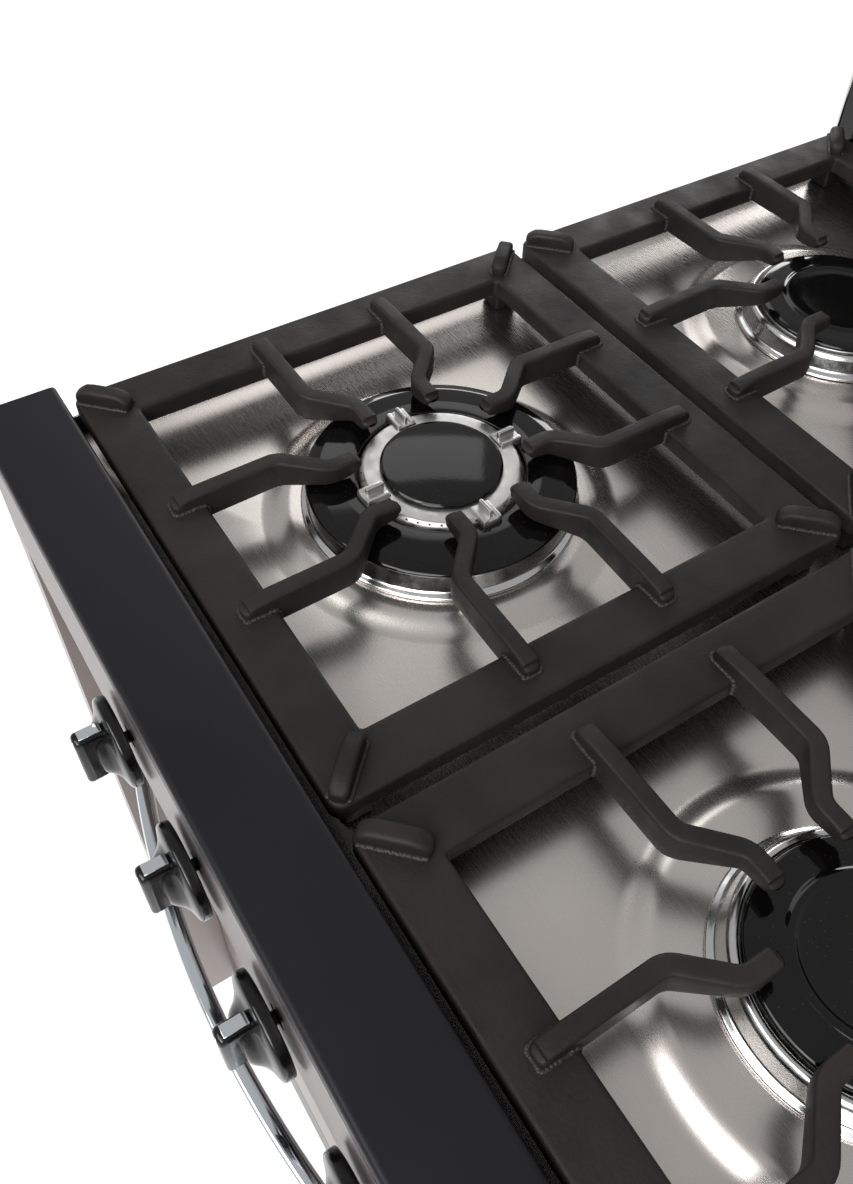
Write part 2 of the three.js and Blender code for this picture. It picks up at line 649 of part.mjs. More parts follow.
function ovenLiner() {
  const [w, t] = [OVEN_WIDTH / 2, OVEN_SHEET];
  const [floor, roof] = [OVEN_FLOOR, OVEN_FLOOR + OVEN_HEIGHT];
  const back = OVEN_FRONT + OVEN_DEPTH;
  const flange = wideBox(HALF - SHEET - CLEAR, OVEN_FRONT, OVEN_FRONT + t, DOOR_FOOT, PANEL_BOTTOM - 2);
  const outer = wideBox(w + t, OVEN_FRONT, back + t, floor - t, roof + t);
  const inner = wideBox(w, OVEN_FRONT - 1, back, floor, roof);
  const slot = box(w - 30, w - 12, OVEN_FRONT + 60, back - 60, floor - 5, floor + 5);
  let body = cut(join(flange, outer), inner, slot, mirroredX(slot));
  for (const level of [RACK_LEVEL, RACK_LEVEL + 90, RACK_LEVEL + 180]) {
    const rib = box(w - RIB, w + t / 2, OVEN_FRONT + 20, back - 10, floor + level - 5, floor + level);
    body = join(body, rib, mirroredX(rib));
  }
  return body;
}

// A shallow inverted tray over the burner.
function ovenFloor() {
  const [w, front, back] = [OVEN_WIDTH / 2 - 38, OVEN_FRONT + 25, OVEN_FRONT + OVEN_DEPTH - 25];
  const foot = OVEN_FLOOR + CLEAR;
  return cut(
    wideBox(w, front, back, foot, foot + 14),
    wideBox(w - SHEET, front + SHEET, back - SHEET, foot - 1, foot + 14 - SHEET));
}

function ovenBurner() {
  const z = OVEN_FLOOR - 42;
  const [front, back] = [OVEN_FRONT + 60, OVEN_FRONT + OVEN_DEPTH - 90];
  const tube = bar([0, front, z], [0, back, z], 17, 16);
  const foot = BOTTOM + SHEET + CLEAR;
  const posts = [front + 20, back - 20].map((y) => join(
    box(-3, 3, y - 9, y + 9, foot, z), box(-25, 25, y - 9, y + 9, foot, foot + 3)));
  return join(tube, ...posts);
}

function ovenRack() {
  const z = OVEN_FLOOR + RACK_LEVEL + CLEAR + RACK_WIRE;
  const w = OVEN_WIDTH / 2 - 3;
  const [front, back] = [OVEN_FRONT + 24, OVEN_FRONT + OVEN_DEPTH - 16];
  const wires = [];
  for (const x of [-w + RACK_WIRE, w - RACK_WIRE]) {
    wires.push(bar([x, front - 3, z], [x, back + 3, z], RACK_WIRE, 8));
  }
  for (let i = 0; i <= 5; i += 1) {
    const y = THREE.MathUtils.lerp(front, back, i / 5);
    wires.push(bar([-w + 1, y, z], [w - 1, y, z], RACK_WIRE * 0.9, 8));
  }
  return join(...wires);
}

// ---------------------------------------------------------------- door

function doorSkin() {
  const t = SHEET;
  const outer = wideBox(DOOR_HALF, DOOR_FACE, DOOR_BACK - 2, DOOR_FOOT, DOOR_TOP);
  const inner = wideBox(DOOR_HALF - t, DOOR_FACE + t, DOOR_BACK, DOOR_FOOT + t, DOOR_TOP - t);
  const pin = bar([-DOOR_HALF - 1, HINGE_Y, HINGE_Z], [-DOOR_HALF + 5, HINGE_Y, HINGE_Z], HINGE_PIN + RUNNING, 16);
  const window = wideBox(WINDOW_WIDTH / 2, DOOR_FACE - 1, DOOR_FACE + 5,
    WINDOW_Z - WINDOW_HEIGHT / 2, WINDOW_Z + WINDOW_HEIGHT / 2);
  return cut(outer, inner, pin, mirroredX(pin), window);
}

function windowPane(y) {
  return wideBox(WINDOW_WIDTH / 2 + GLASS_LAP, y, y + GLASS_THICK,
    WINDOW_Z - WINDOW_HEIGHT / 2 - GLASS_LAP, WINDOW_Z + WINDOW_HEIGHT / 2 + GLASS_LAP);
}

function doorLiner() {
  const y = DOOR_BACK - 2 + CLEAR;
  const plate = wideBox(DOOR_HALF - 2, y, DOOR_BACK, DOOR_FOOT + 12, DOOR_TOP - 2);
  const window = wideBox(WINDOW_WIDTH / 2, y - 1, y + 5,
    WINDOW_Z - WINDOW_HEIGHT / 2, WINDOW_Z + WINDOW_HEIGHT / 2);
  return cut(plate, window);
}

// A flat bar bowed outwards in plan, on two blocks at its ends.
function doorHandle() {
  const centreY = DOOR_FACE - HANDLE_BOW + HANDLE_RADIUS;
  const inner = HANDLE_RADIUS - HANDLE_THICK;
  const halfAngle = Math.acos((centreY - DOOR_FACE + HANDLE_STANDOFF) / inner);
  const plan = new THREE.Shape();
  plan.absarc(0, centreY, HANDLE_RADIUS, -Math.PI / 2 - halfAngle, -Math.PI / 2 + halfAngle);
  plan.absarc(0, centreY, inner, -Math.PI / 2 + halfAngle, -Math.PI / 2 - halfAngle, true);
  plan.closePath();
  const z = PANEL_BOTTOM - HANDLE_BELOW_PANEL;
  const grip = slab(plan, z - HANDLE_TALL / 2, z + HANDLE_TALL / 2, 24);
  const endX = Math.sin(halfAngle) * (HANDLE_RADIUS - HANDLE_THICK / 2) - 9;
  const block = box(endX - 12, endX + 8, DOOR_FACE - HANDLE_STANDOFF - 9, DOOR_FACE - CLEAR,
    z - HANDLE_TALL / 2 + 1, z + HANDLE_TALL / 2 - 1);
  return join(grip, block, mirroredX(block));
}

// A plate on the column's inner face with the pin that the door turns on.
function hingeBracket() {
  const wall = -HALF + COLUMN_WIDTH + CLEAR;
  const plate = box(wall, wall + 1.6, HINGE_Y - 4.5, HINGE_Y + 14, HINGE_Z - 4.5, HINGE_Z + 30);
  return join(plate, bar([wall + 0.5, HINGE_Y, HINGE_Z], [wall + 16, HINGE_Y, HINGE_Z], HINGE_PIN, 16));
}

// ---------------------------------------------------------------- assembly

add('left_side_panel', sidePanel(), 'stainless');
add('right_side_panel', mirroredX(sidePanel()), 'stainless');
add('rear_panel', rearPanel(), 'galvanised');
add('base_pan', basePan(), 'galvanised');
add('lower_front_panel', lowerFrontPanel(), 'stainless');
add('control_panel', controlPanel(), 'stainless');
add('front_ledge', frontLedge(), 'charcoal');
add('cooktop', cooktop(), 'stainless');
add('back_guard', backGuard(), 'blackEnamel');

for (const [name, x, y] of [
  ['leg_front_left', -HALF + LEG_INSET, COLUMN_BACK + LEG_INSET],
  ['leg_front_right', HALF - LEG_INSET, COLUMN_BACK + LEG_INSET],
  ['leg_rear_left', -HALF + LEG_INSET, REAR - LEG_INSET],
  ['leg_rear_right', HALF - LEG_INSET, REAR - LEG_INSET],
]) {
  add(name, leg(), 'chrome', x, y);
}

for (const { name, x, y } of BURNERS) {
  const large = name === LARGE_BURNER;
  add(`grate_${name}`, grate(), 'castIron', x, y, FRAME_TOP);
  add(`burner_base_${name}`, burnerBase(large ? BASE_RADIUS : SMALL_BASE_RADIUS), 'chrome', x, y, DOME_TOP);
  add(`burner_crown_${name}`, large ? burnerCrown() : smallCrown(), 'aluminium', x, y, DOME_TOP);
  if (large) add(`ring_cap_${name}`, ringCap(), 'blackEnamel', x, y, DOME_TOP);
  add(`centre_cap_${name}`, large ? centreCap() : smallCap(), 'blackEnamel', x, y, DOME_TOP);
}

for (const { name, x } of CONTROLS) {
  add(`valve_${name}`, valve(), 'brass', x, FRONT, KNOB_Z);
  add(`valve_plug_${name}`, valvePlug(), 'brass', x, FRONT, KNOB_Z);
  add(`knob_${name}`, knob(), 'blackPlastic', x, FRONT, KNOB_Z);
}
add('gas_manifold', gasManifold(), 'galvanised');

add('oven_liner', ovenLiner(), 'darkEnamel');
add('oven_floor', ovenFloor(), 'darkEnamel');
add('oven_burner', ovenBurner(), 'aluminium');
add('oven_rack', ovenRack(), 'chrome');

add('door_skin', doorSkin(), 'stainless');
add('door_glass', windowPane(DOOR_FACE + SHEET + CLEAR), 'glass');
add('door_inner_glass', windowPane(DOOR_BACK - 2 - GLASS_THICK), 'glass');
add('door_liner', doorLiner(), 'darkEnamel');
add('door_handle', doorHandle(), 'chrome');
add('hinge_bracket_left', hingeBracket(), 'galvanised');
add('hinge_bracket_right', mirroredX(hingeBracket()), 'galvanised');

export default range;
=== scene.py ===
"""Looks of a freestanding four-burner gas range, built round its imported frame.

Every size in the classes is in millimetres and every mesh is made in metres, in the frame of the
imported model: +Z up, +X to the right of a person facing the front, +Y towards the rear.
"""
from __future__ import annotations

import json
import logging
import math
from dataclasses import dataclass, field
from enum import Enum

import bmesh
import bpy
from mathutils import Matrix, Vector

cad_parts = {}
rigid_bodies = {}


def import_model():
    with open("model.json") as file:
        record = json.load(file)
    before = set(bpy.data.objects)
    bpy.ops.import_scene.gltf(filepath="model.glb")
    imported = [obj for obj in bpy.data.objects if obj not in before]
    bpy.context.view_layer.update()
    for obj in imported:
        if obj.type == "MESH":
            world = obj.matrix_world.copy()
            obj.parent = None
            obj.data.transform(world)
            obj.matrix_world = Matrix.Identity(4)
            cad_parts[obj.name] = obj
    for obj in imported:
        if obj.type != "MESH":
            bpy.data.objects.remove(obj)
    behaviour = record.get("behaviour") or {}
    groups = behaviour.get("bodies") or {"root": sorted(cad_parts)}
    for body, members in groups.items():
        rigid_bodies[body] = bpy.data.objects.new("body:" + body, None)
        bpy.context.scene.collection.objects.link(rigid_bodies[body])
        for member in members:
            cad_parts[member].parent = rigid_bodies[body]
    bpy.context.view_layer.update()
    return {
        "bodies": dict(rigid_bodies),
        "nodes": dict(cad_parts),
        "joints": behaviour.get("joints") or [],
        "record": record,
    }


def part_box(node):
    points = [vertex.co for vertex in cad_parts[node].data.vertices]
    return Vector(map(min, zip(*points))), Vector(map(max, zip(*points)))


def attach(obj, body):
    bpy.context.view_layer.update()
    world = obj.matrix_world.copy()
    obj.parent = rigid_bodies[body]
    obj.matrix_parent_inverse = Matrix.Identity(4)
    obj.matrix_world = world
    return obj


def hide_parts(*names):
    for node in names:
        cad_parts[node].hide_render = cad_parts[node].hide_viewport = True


LOG = logging.getLogger("range")
MM = 0.001
PER_METRE = 1000
MERGE = 2e-6  # metres within which two vertices are one
POLE = 1e-3  # radius in millimetres of a ring that closes a lathe at its axis
DOME_SIDES = 120
DOME_STEPS = 12
FLOOR = 30.0  # metres from the middle of the floor to its edges
Point = tuple[float, float]
Triple = tuple[float, float, float]
Tree = bpy.types.NodeTree
Node = bpy.types.Node
Socket = bpy.types.NodeSocket


# ------------------------------------------------------------------ small tools


def srgb(code: str) -> tuple[float, float, float, float]:
    """Turns an sRGB hex colour to linear.

    Args:
        code: Six hex digits after a #.

    Returns:
        Linear red, green and blue with an alpha of 1.
    """
    parts = [int(code[i : i + 2], 16) / 255 for i in (1, 3, 5)]
    linear = [p / 12.92 if p <= 0.04045 else ((p + 0.055) / 1.055) ** 2.4 for p in parts]
    return (*linear, 1.0)


def add_node(
    tree: Tree,
    kind: str,
    settings: dict[str, object] | None = None,
    values: dict[str | int, object] | None = None,
    links: dict[str | int, Socket] | None = None,
) -> Node:
    """Adds one node with its settings, input values and links.

    Args:
        tree: The shader or geometry tree.
        kind: The node's type name.
        settings: Attributes of the node itself.
        values: Input values by socket name or number.
        links: Output sockets to join to inputs, by socket name or number.

    Returns:
        The new node.
    """
    node = tree.nodes.new(kind)
    for key, value in (settings or {}).items():
        setattr(node, key, value)
    for key, value in (values or {}).items():
        node.inputs[key].default_value = value
    for key, socket in (links or {}).items():
        tree.links.new(socket, node.inputs[key])
    return node


def object_place(tree: Tree) -> Socket:
    """Object coordinates, in metres.

    Args:
        tree: The material's tree.

    Returns:
        The coordinates' socket.
    """
    return add_node(tree, "ShaderNodeTexCoord").outputs["Object"]


def fillet(points: list[Point], radius: float, steps: int = 4, closed: bool = True) -> list[Point]:
    """Rounds the corners of an outline.

    Args:
        points: The outline's corners.
        radius: How far from each corner its curve starts.
        steps: Pieces in each curve.
        closed: False keeps the first and the last point as they are.

    Returns:
        The outline with a short curve at each corner.
    """
    made: list[Point] = []
    count = len(points)
    for i, corner in enumerate(points):
        if not closed and i in (0, count - 1):
            made.append(corner)
            continue
        here = Vector(corner)
        before = Vector(points[i - 1]) - here
        after = Vector(points[(i + 1) % count]) - here
        start = here + before.normalized() * min(radius, before.length * 0.45)
        end = here + after.normalized() * min(radius, after.length * 0.45)
        for k in range(steps + 1):
            t = k / steps
            spot = start * (1 - t) ** 2 + here * 2 * t * (1 - t) + end * t * t
            made.append((spot.x, spot.y))
    return made


def rect_loop(width: float, depth: float, radius: float, steps: int = 5) -> list[Point]:
    """The points of a rounded rectangle about the origin, the same number whatever its size.

    Args:
        width: Size along the first axis.
        depth: Size along the second axis.
        radius: Radius of its corners.
        steps: Pieces in each corner.

    Returns:
        The points, anticlockwise.
    """
    made: list[Point] = []
    for quarter, (sx, sy) in enumerate([(1, 1), (-1, 1), (-1, -1), (1, -1)]):
        cx, cy = sx * (width / 2 - radius), sy * (depth / 2 - radius)
        for k in range(steps + 1):
            angle = (quarter + k / steps) * math.pi / 2
            made.append((cx + radius * math.cos(angle), cy + radius * math.sin(angle)))
    return made


def ramp(value: float, stops: list[Point]) -> float:
    """Reads a broken line of (place, height) stops at one place.

    Args:
        value: The place to read at.
        stops: The line's corners, in order.

    Returns:
        The height there, level beyond either end.
    """
    if value <= stops[0][0]:
        return stops[0][1]
    for (a, low), (b, high) in zip(stops, stops[1:]):
        if value <= b:
            return low + (high - low) * (value - a) / (b - a)
    return stops[-1][1]


@dataclass
class Shell:
    """A mesh in the making: one or more closed skins, in millimetres."""

    verts: list[Vector] = field(default_factory=list)
    faces: list[tuple[int, ...]] = field(default_factory=list)

    def loft(self, rings: list[list[Vector]], loop: bool = False) -> None:
        """Skins a row of rings that have the same number of points.

        Args:
            rings: The rings in order.
            loop: True joins the last ring to the first; False closes both ends.
        """
        start, size, count = len(self.verts), len(rings[0]), len(rings)
        for ring in rings:
            self.verts.extend(ring)
        for i in range(count if loop else count - 1):
            a, b = start + i * size, start + ((i + 1) % count) * size
            for k in range(size):
                m = (k + 1) % size
                self.faces.append((a + k, a + m, b + m, b + k))
        if not loop:
            self.faces.append(tuple(range(start, start + size))[::-1])
            self.faces.append(tuple(range(start + (count - 1) * size, start + count * size)))

    def lathe(self, outline: list[Point], centre: Vector, axis: str = "Z", sides: int = 96) -> None:
        """Turns a closed (radius, height) outline about an axis through a point.

        Args:
            outline: A closed outline off the axis, or an open one that starts and ends on it.
            centre: The point that radius 0 and height 0 stand for.
            axis: Z to turn about +Z, Y to turn about -Y, with heights towards -Y.
            sides: Faces round the turn.
        """
        rings = [self._ring(max(radius, POLE), height, centre, axis, sides) for radius, height in outline]
        self.loft(rings, loop=outline[0][0] != 0)

    @staticmethod
    def _ring(radius: float, height: float, centre: Vector, axis: str, sides: int) -> list[Vector]:
        """One ring of a lathe.

        Args:
            radius: Its radius.
            height: Its height along the axis.
            centre: The point that radius 0 and height 0 stand for.
            axis: Z or Y, as in lathe.
            sides: How many points it has.

        Returns:
            The ring's points.
        """
        made = []
        for k in range(sides):
            angle = 2 * math.pi * k / sides
            across, up = radius * math.cos(angle), radius * math.sin(angle)
            made.append(centre + Vector((across, up, height) if axis == "Z" else (across, -height, up)))
        return made

    def post(self, centre: Vector, width: float, depth: float, low: float, high: float,
             round_: float) -> None:
        """A rounded block that stands along Z, with eased edges at both ends.

        Args:
            centre: Its middle. The height is not used.
            width: Size along X.
            depth: Size along Y.
            low: Height of its foot.
            high: Height of its top.
            round_: Radius of its upright corners.
        """
        ease = min(round_, (high - low) / 3)
        stations = [(low, ease), (low + ease * 0.3, ease * 0.3), (low + ease, 0.0)]
        stations += [(high - ease, 0.0), (high - ease * 0.3, ease * 0.3), (high, ease)]
        rings = []
        for z, inset in stations:
            loop = rect_loop(width - 2 * inset, depth - 2 * inset, max(round_ - inset * 0.6, 0.15))
            rings.append([Vector((centre.x + x, centre.y + y, z)) for x, y in loop])
        self.loft(rings)

    def turn(self, matrix: Matrix, start: int = 0) -> None:
        """Applies a matrix to the vertices made since number start.

        Args:
            matrix: The matrix.
            start: The first vertex that it applies to.
        """
        for i in range(start, len(self.verts)):
            self.verts[i] = matrix @ self.verts[i]

    def build(self, name: str, crease: float = 32.0) -> bpy.types.Object:
        """Makes the object, in metres, with smooth faces and sharp creases.

        Args:
            name: The piece's name.
            crease: Edges that turn by more than this many degrees stay sharp.

        Returns:
            The object, at the origin.
        """
        mesh = bpy.data.meshes.new(name)
        mesh.from_pydata([v * MM for v in self.verts], [], self.faces)
        tidy(mesh, crease)
        made = bpy.data.objects.new(name, mesh)
        bpy.context.scene.collection.objects.link(made)
        return made


def tidy(mesh: bpy.types.Mesh, crease: float = 32.0) -> None:
    """Merges doubles, turns faces outwards and marks the creases of a new mesh.

    Args:
        mesh: The mesh, in metres.
        crease: Edges that turn by more than this many degrees stay sharp.
    """
    work = bmesh.new()
    work.from_mesh(mesh)
    bmesh.ops.remove_doubles(work, verts=work.verts, dist=MERGE)
    bmesh.ops.dissolve_degenerate(work, edges=work.edges, dist=1e-6)
    bmesh.ops.recalc_face_normals(work, faces=work.faces)
    for face in work.faces:
        face.smooth = True
    for edge in work.edges:
        turned = edge.calc_face_angle(0.0) if len(edge.link_faces) == 2 else math.pi
        edge.smooth = turned < math.radians(crease)
    work.to_mesh(mesh)
    work.free()


# ------------------------------------------------------------------ finishes


@dataclass(frozen=True)
class Finish:
    """A surface finish: the shader's own values, and the detail that its subclass adds."""

    name: str
    colour: str
    rough: float
    metal: float = 0.0
    coat: float = 0.0
    gloss: float = 0.5

    def material(self) -> bpy.types.Material:
        """Returns the finish's material, and makes it the first time.

        Returns:
            The material.
        """
        known = bpy.data.materials.get(self.name)
        if known is not None:
            return known
        made = bpy.data.materials.new(self.name)
        made.use_nodes = True
        tree = made.node_tree
        shader = tree.nodes["Principled BSDF"]
        shader.inputs["Base Color"].default_value = srgb(self.colour)
        shader.inputs["Roughness"].default_value = self.rough
        shader.inputs["Metallic"].default_value = self.metal
        shader.inputs["Specular IOR Level"].default_value = self.gloss
        shader.inputs["Coat Weight"].default_value = self.coat
        shader.inputs["Coat Roughness"].default_value = 0.05
        self.detail(tree, shader)
        return made

    def detail(self, tree: Tree, shader: Node) -> None:
        """Adds the finish's own nodes. The plain finish has none.

        Args:
            tree: The material's tree.
            shader: Its Principled node.
        """

    def noise(self, tree: Tree, size: float, octaves: float = 3.0) -> Socket:
        """A noise pattern with features of a real size.

        Args:
            tree: The material's tree.
            size: Feature size in millimetres.
            octaves: Finer layers added to the pattern.

        Returns:
            The pattern's value socket, from 0 to 1.
        """
        return self._pattern(tree, object_place(tree), PER_METRE / size, octaves)

    def streaks(self, tree: Tree, length: float, width: float, octaves: float) -> Socket:
        """A noise pattern drawn out along X.

        Args:
            tree: The material's tree.
            length: Length of a streak in millimetres.
            width: Width of a streak in millimetres.
            octaves: Finer layers added to the pattern.

        Returns:
            The pattern's value socket, from 0 to 1.
        """
        steps = (PER_METRE / length, PER_METRE / width, PER_METRE / width)
        drawn = add_node(tree, "ShaderNodeMapping", values={"Scale": steps},
                         links={"Vector": object_place(tree)})
        return self._pattern(tree, drawn.outputs[0], 1.0, octaves)

    @staticmethod
    def _pattern(tree: Tree, place: Socket, scale: float, octaves: float) -> Socket:
        """The noise node that both patterns use.

        Args:
            tree: The material's tree.
            place: The coordinates to read it at.
            scale: Features in a unit of those coordinates.
            octaves: Finer layers added to the pattern.

        Returns:
            The pattern's value socket.
        """
        node = add_node(tree, "ShaderNodeTexNoise", values={"Scale": scale, "Detail": octaves},
                        links={"Vector": place})
        return node.outputs["Fac"]

    def spread(
        self, tree: Tree, value: Socket, low: float, high: float
    ) -> Socket:
        """Maps a pattern's middle range to run from low to high.

        Args:
            tree: The material's tree.
            value: The pattern.
            low: The result where the pattern is 0.3.
            high: The result where it is 0.7.

        Returns:
            The result's socket.
        """
        node = add_node(
            tree, "ShaderNodeMapRange",
            values={"From Min": 0.3, "From Max": 0.7, "To Min": low, "To Max": high},
            links={"Value": value})
        return node.outputs["Result"]

    def tint(
        self, tree: Tree, value: Socket, dark: str, light: str
    ) -> Socket:
        """Mixes two colours by a pattern.

        Args:
            tree: The material's tree.
            value: The pattern.
            dark: Colour where the pattern is low.
            light: Colour where it is high.

        Returns:
            The mixed colour's socket.
        """
        return self.blend(tree, self.spread(tree, value, 0.0, 1.0), dark, light)

    @staticmethod
    def blend(tree: Tree, factor: Socket, dark: str, light: str) -> Socket:
        """Mixes two colours by a factor.

        Args:
            tree: The material's tree.
            factor: The factor's socket.
            dark: Colour where it is 0.
            light: Colour where it is 1.

        Returns:
            The mixed colour's socket.
        """
        node = add_node(tree, "ShaderNodeMix", {"data_type": "RGBA"}, links={"Factor": factor})
        node.inputs["A"].default_value = srgb(dark)
        node.inputs["B"].default_value = srgb(light)
        return node.outputs["Result"]

    def roughen(self, tree: Tree, shader: Node, value: Socket, below: float, above: float) -> None:
        """Varies the roughness about the finish's own by a pattern.

        Args:
            tree: The material's tree.
            shader: Its Principled node.
            value: The pattern.
            below: How far under its own value the roughness goes.
            above: How far over its own value the roughness goes.
        """
        spread = self.spread(tree, value, self.rough - below, self.rough + above)
        tree.links.new(spread, shader.inputs["Roughness"])

    def relief(
        self, tree: Tree, shader: Node, value: Socket, height: float
    ) -> None:
        """Adds bump of a real height in millimetres, on top of any that is already there.

        Args:
            tree: The material's tree.
            shader: Its Principled node.
            value: The pattern that stands for height.
            height: The height.
        """
        before = shader.inputs["Normal"].links[0].from_socket if shader.inputs["Normal"].links else None
        bump = add_node(
            tree, "ShaderNodeBump", values={"Distance": height * MM, "Strength": 1.0},
            links={"Height": value})
        if before is not None:
            tree.links.new(before, bump.inputs["Normal"])
        tree.links.new(bump.outputs["Normal"], shader.inputs["Normal"])


@dataclass(frozen=True)
class CastIron(Finish):
    """Sand-cast iron with a baked matt coat: a grainy, slightly pitted skin with brown patches."""

    light: str = "#3b3431"

    def detail(self, tree: Tree, shader: Node) -> None:
        """Adds brown patches, uneven sheen, sand grain and shallow casting waves.

        Args:
            tree: The material's tree.
            shader: Its Principled node.
        """
        patches = self.noise(tree, 55, 4)
        tree.links.new(self.tint(tree, patches, self.colour, self.light), shader.inputs["Base Color"])
        self.roughen(tree, shader, self.noise(tree, 18, 5), 0.1, 0.14)
        self.relief(tree, shader, self.noise(tree, 14, 2), 0.35)
        self.relief(tree, shader, self.noise(tree, 1.9, 4), 0.2)
        self.relief(tree, shader, self.noise(tree, 0.8, 2), 0.07)


@dataclass(frozen=True)
class BrushedSteel(Finish):
    """Stainless sheet brushed along X: fine streaks that blur reflections across them."""

    grain: float = 0.7
    light: str = "#d6d0cb"

    def detail(self, tree: Tree, shader: Node) -> None:
        """Adds fine streaks of sheen and wide, faint drifts of colour.

        Args:
            tree: The material's tree.
            shader: Its Principled node.
        """
        streaks = self.streaks(tree, 160, self.grain, 2)
        drifts = self.noise(tree, 120, 2)
        self.roughen(tree, shader, streaks, 0.008, 0.01)
        tree.links.new(self.tint(tree, drifts, self.colour, self.light), shader.inputs["Base Color"])


@dataclass(frozen=True)
class PolishedMetal(Finish):
    """Buffed chrome or steel: nearly a mirror, with faint polishing haze."""

    def detail(self, tree: Tree, shader: Node) -> None:
        """Adds the haze that a buffing wheel leaves.

        Args:
            tree: The material's tree.
            shader: Its Principled node.
        """
        haze = self.noise(tree, 9, 4)
        tree.links.new(self.spread(tree, haze, self.rough * 0.6, self.rough * 1.8),
                       shader.inputs["Roughness"])


@dataclass(frozen=True)
class SatinEnamel(Finish):
    """Baked satin powder coat: even colour with a very fine orange-peel skin."""

    def detail(self, tree: Tree, shader: Node) -> None:
        """Adds the orange peel and a slow drift of sheen.

        Args:
            tree: The material's tree.
            shader: Its Principled node.
        """
        self.roughen(tree, shader, self.noise(tree, 70, 3), 0.05, 0.06)
        self.relief(tree, shader, self.noise(tree, 1.4, 2), 0.02)


@dataclass(frozen=True)
class VitreousEnamel(Finish):
    """Fired glass enamel: deep gloss over a faintly wavy ground, with a few pinhead flecks."""

    fleck: str = "#2a2625"
    fleck_gap: float = 2.4

    def detail(self, tree: Tree, shader: Node) -> None:
        """Adds the wave of the fired coat and its small flecks.

        Args:
            tree: The material's tree.
            shader: Its Principled node.
        """
        dots = add_node(tree, "ShaderNodeTexVoronoi", values={"Scale": PER_METRE / self.fleck_gap}, links={
            "Vector": object_place(tree)})
        spot = add_node(tree, "ShaderNodeMapRange", values={
            "From Min": 0.06, "From Max": 0.14, "To Min": 1.0, "To Max": 0.0},
            links={"Value": dots.outputs["Distance"]})
        mixed = self.blend(tree, spot.outputs["Result"], self.colour, self.fleck)
        tree.links.new(mixed, shader.inputs["Base Color"])
        self.relief(tree, shader, self.noise(tree, 22, 1), 0.05)


@dataclass(frozen=True)
class Phenolic(Finish):
    """Moulded black thermoset: glossy, with the faint swirl of the moulding."""

    def detail(self, tree: Tree, shader: Node) -> None:
        """Adds the swirl and the soft wear of hands.

        Args:
            tree: The material's tree.
            shader: Its Principled node.
        """
        self.roughen(tree, shader, self.noise(tree, 12, 4), 0.05, 0.1)
        self.relief(tree, shader, self.noise(tree, 3, 2), 0.012)


@dataclass(frozen=True)
class CastMetal(Finish):
    """Die-cast aluminium or hot-pressed brass: a dull grain with brighter rubbed spots."""

    grit: float = 0.8

    def detail(self, tree: Tree, shader: Node) -> None:
        """Adds the grain of the die and an uneven dullness.

        Args:
            tree: The material's tree.
            shader: Its Principled node.
        """
        self.roughen(tree, shader, self.noise(tree, 6, 4), 0.12, 0.12)
        self.relief(tree, shader, self.noise(tree, self.grit, 3), 0.05)


@dataclass(frozen=True)
class ZincSheet(Finish):
    """Hot-dip zinc: flat crystals of slightly different greys, about 6 mm across."""

    crystal: float = 6.0
    light: str = "#999da0"

    def detail(self, tree: Tree, shader: Node) -> None:
        """Adds the crystals.

        Args:
            tree: The material's tree.
            shader: Its Principled node.
        """
        cells = add_node(tree, "ShaderNodeTexVoronoi", values={"Scale": PER_METRE / self.crystal}, links={
            "Vector": object_place(tree)})
        grey = add_node(tree, "ShaderNodeSeparateColor",
                        links={"Color": cells.outputs["Color"]}).outputs["Red"]
        tree.links.new(self.tint(tree, grey, self.colour, self.light), shader.inputs["Base Color"])
        self.roughen(tree, shader, grey, 0.03, 0.04)


@dataclass(frozen=True)
class TintedGlass(Finish):
    """Dark toughened glass: clear gloss with a smoky body."""

    def detail(self, tree: Tree, shader: Node) -> None:
        """Lets most light through and adds the slight wave of rolled glass.

        Args:
            tree: The material's tree.
            shader: Its Principled node.
        """
        shader.inputs["Transmission Weight"].default_value = 0.75
        shader.inputs["IOR"].default_value = 1.5
        self.relief(tree, shader, self.noise(tree, 60, 1), 0.03)


@dataclass(frozen=True)
class GlassFibre(Finish):
    """Braided glass-fibre rope: grey yarns that cross at a slant."""

    yarn: float = 1.6
    slant: float = 0.7

    def detail(self, tree: Tree, shader: Node) -> None:
        """Adds the braid as two slanting wave patterns.

        Args:
            tree: The material's tree.
            shader: Its Principled node.
        """
        place = object_place(tree)
        for slant in (self.slant, -self.slant):
            turned = add_node(tree, "ShaderNodeMapping", values={"Rotation": (slant, slant, slant)},
                              links={"Vector": place})
            wave = add_node(tree, "ShaderNodeTexWave",
                            values={"Scale": PER_METRE / self.yarn / 6.3, "Distortion": 0.6},
                            links={"Vector": turned.outputs[0]})
            self.relief(tree, shader, wave.outputs["Fac"], 0.25)


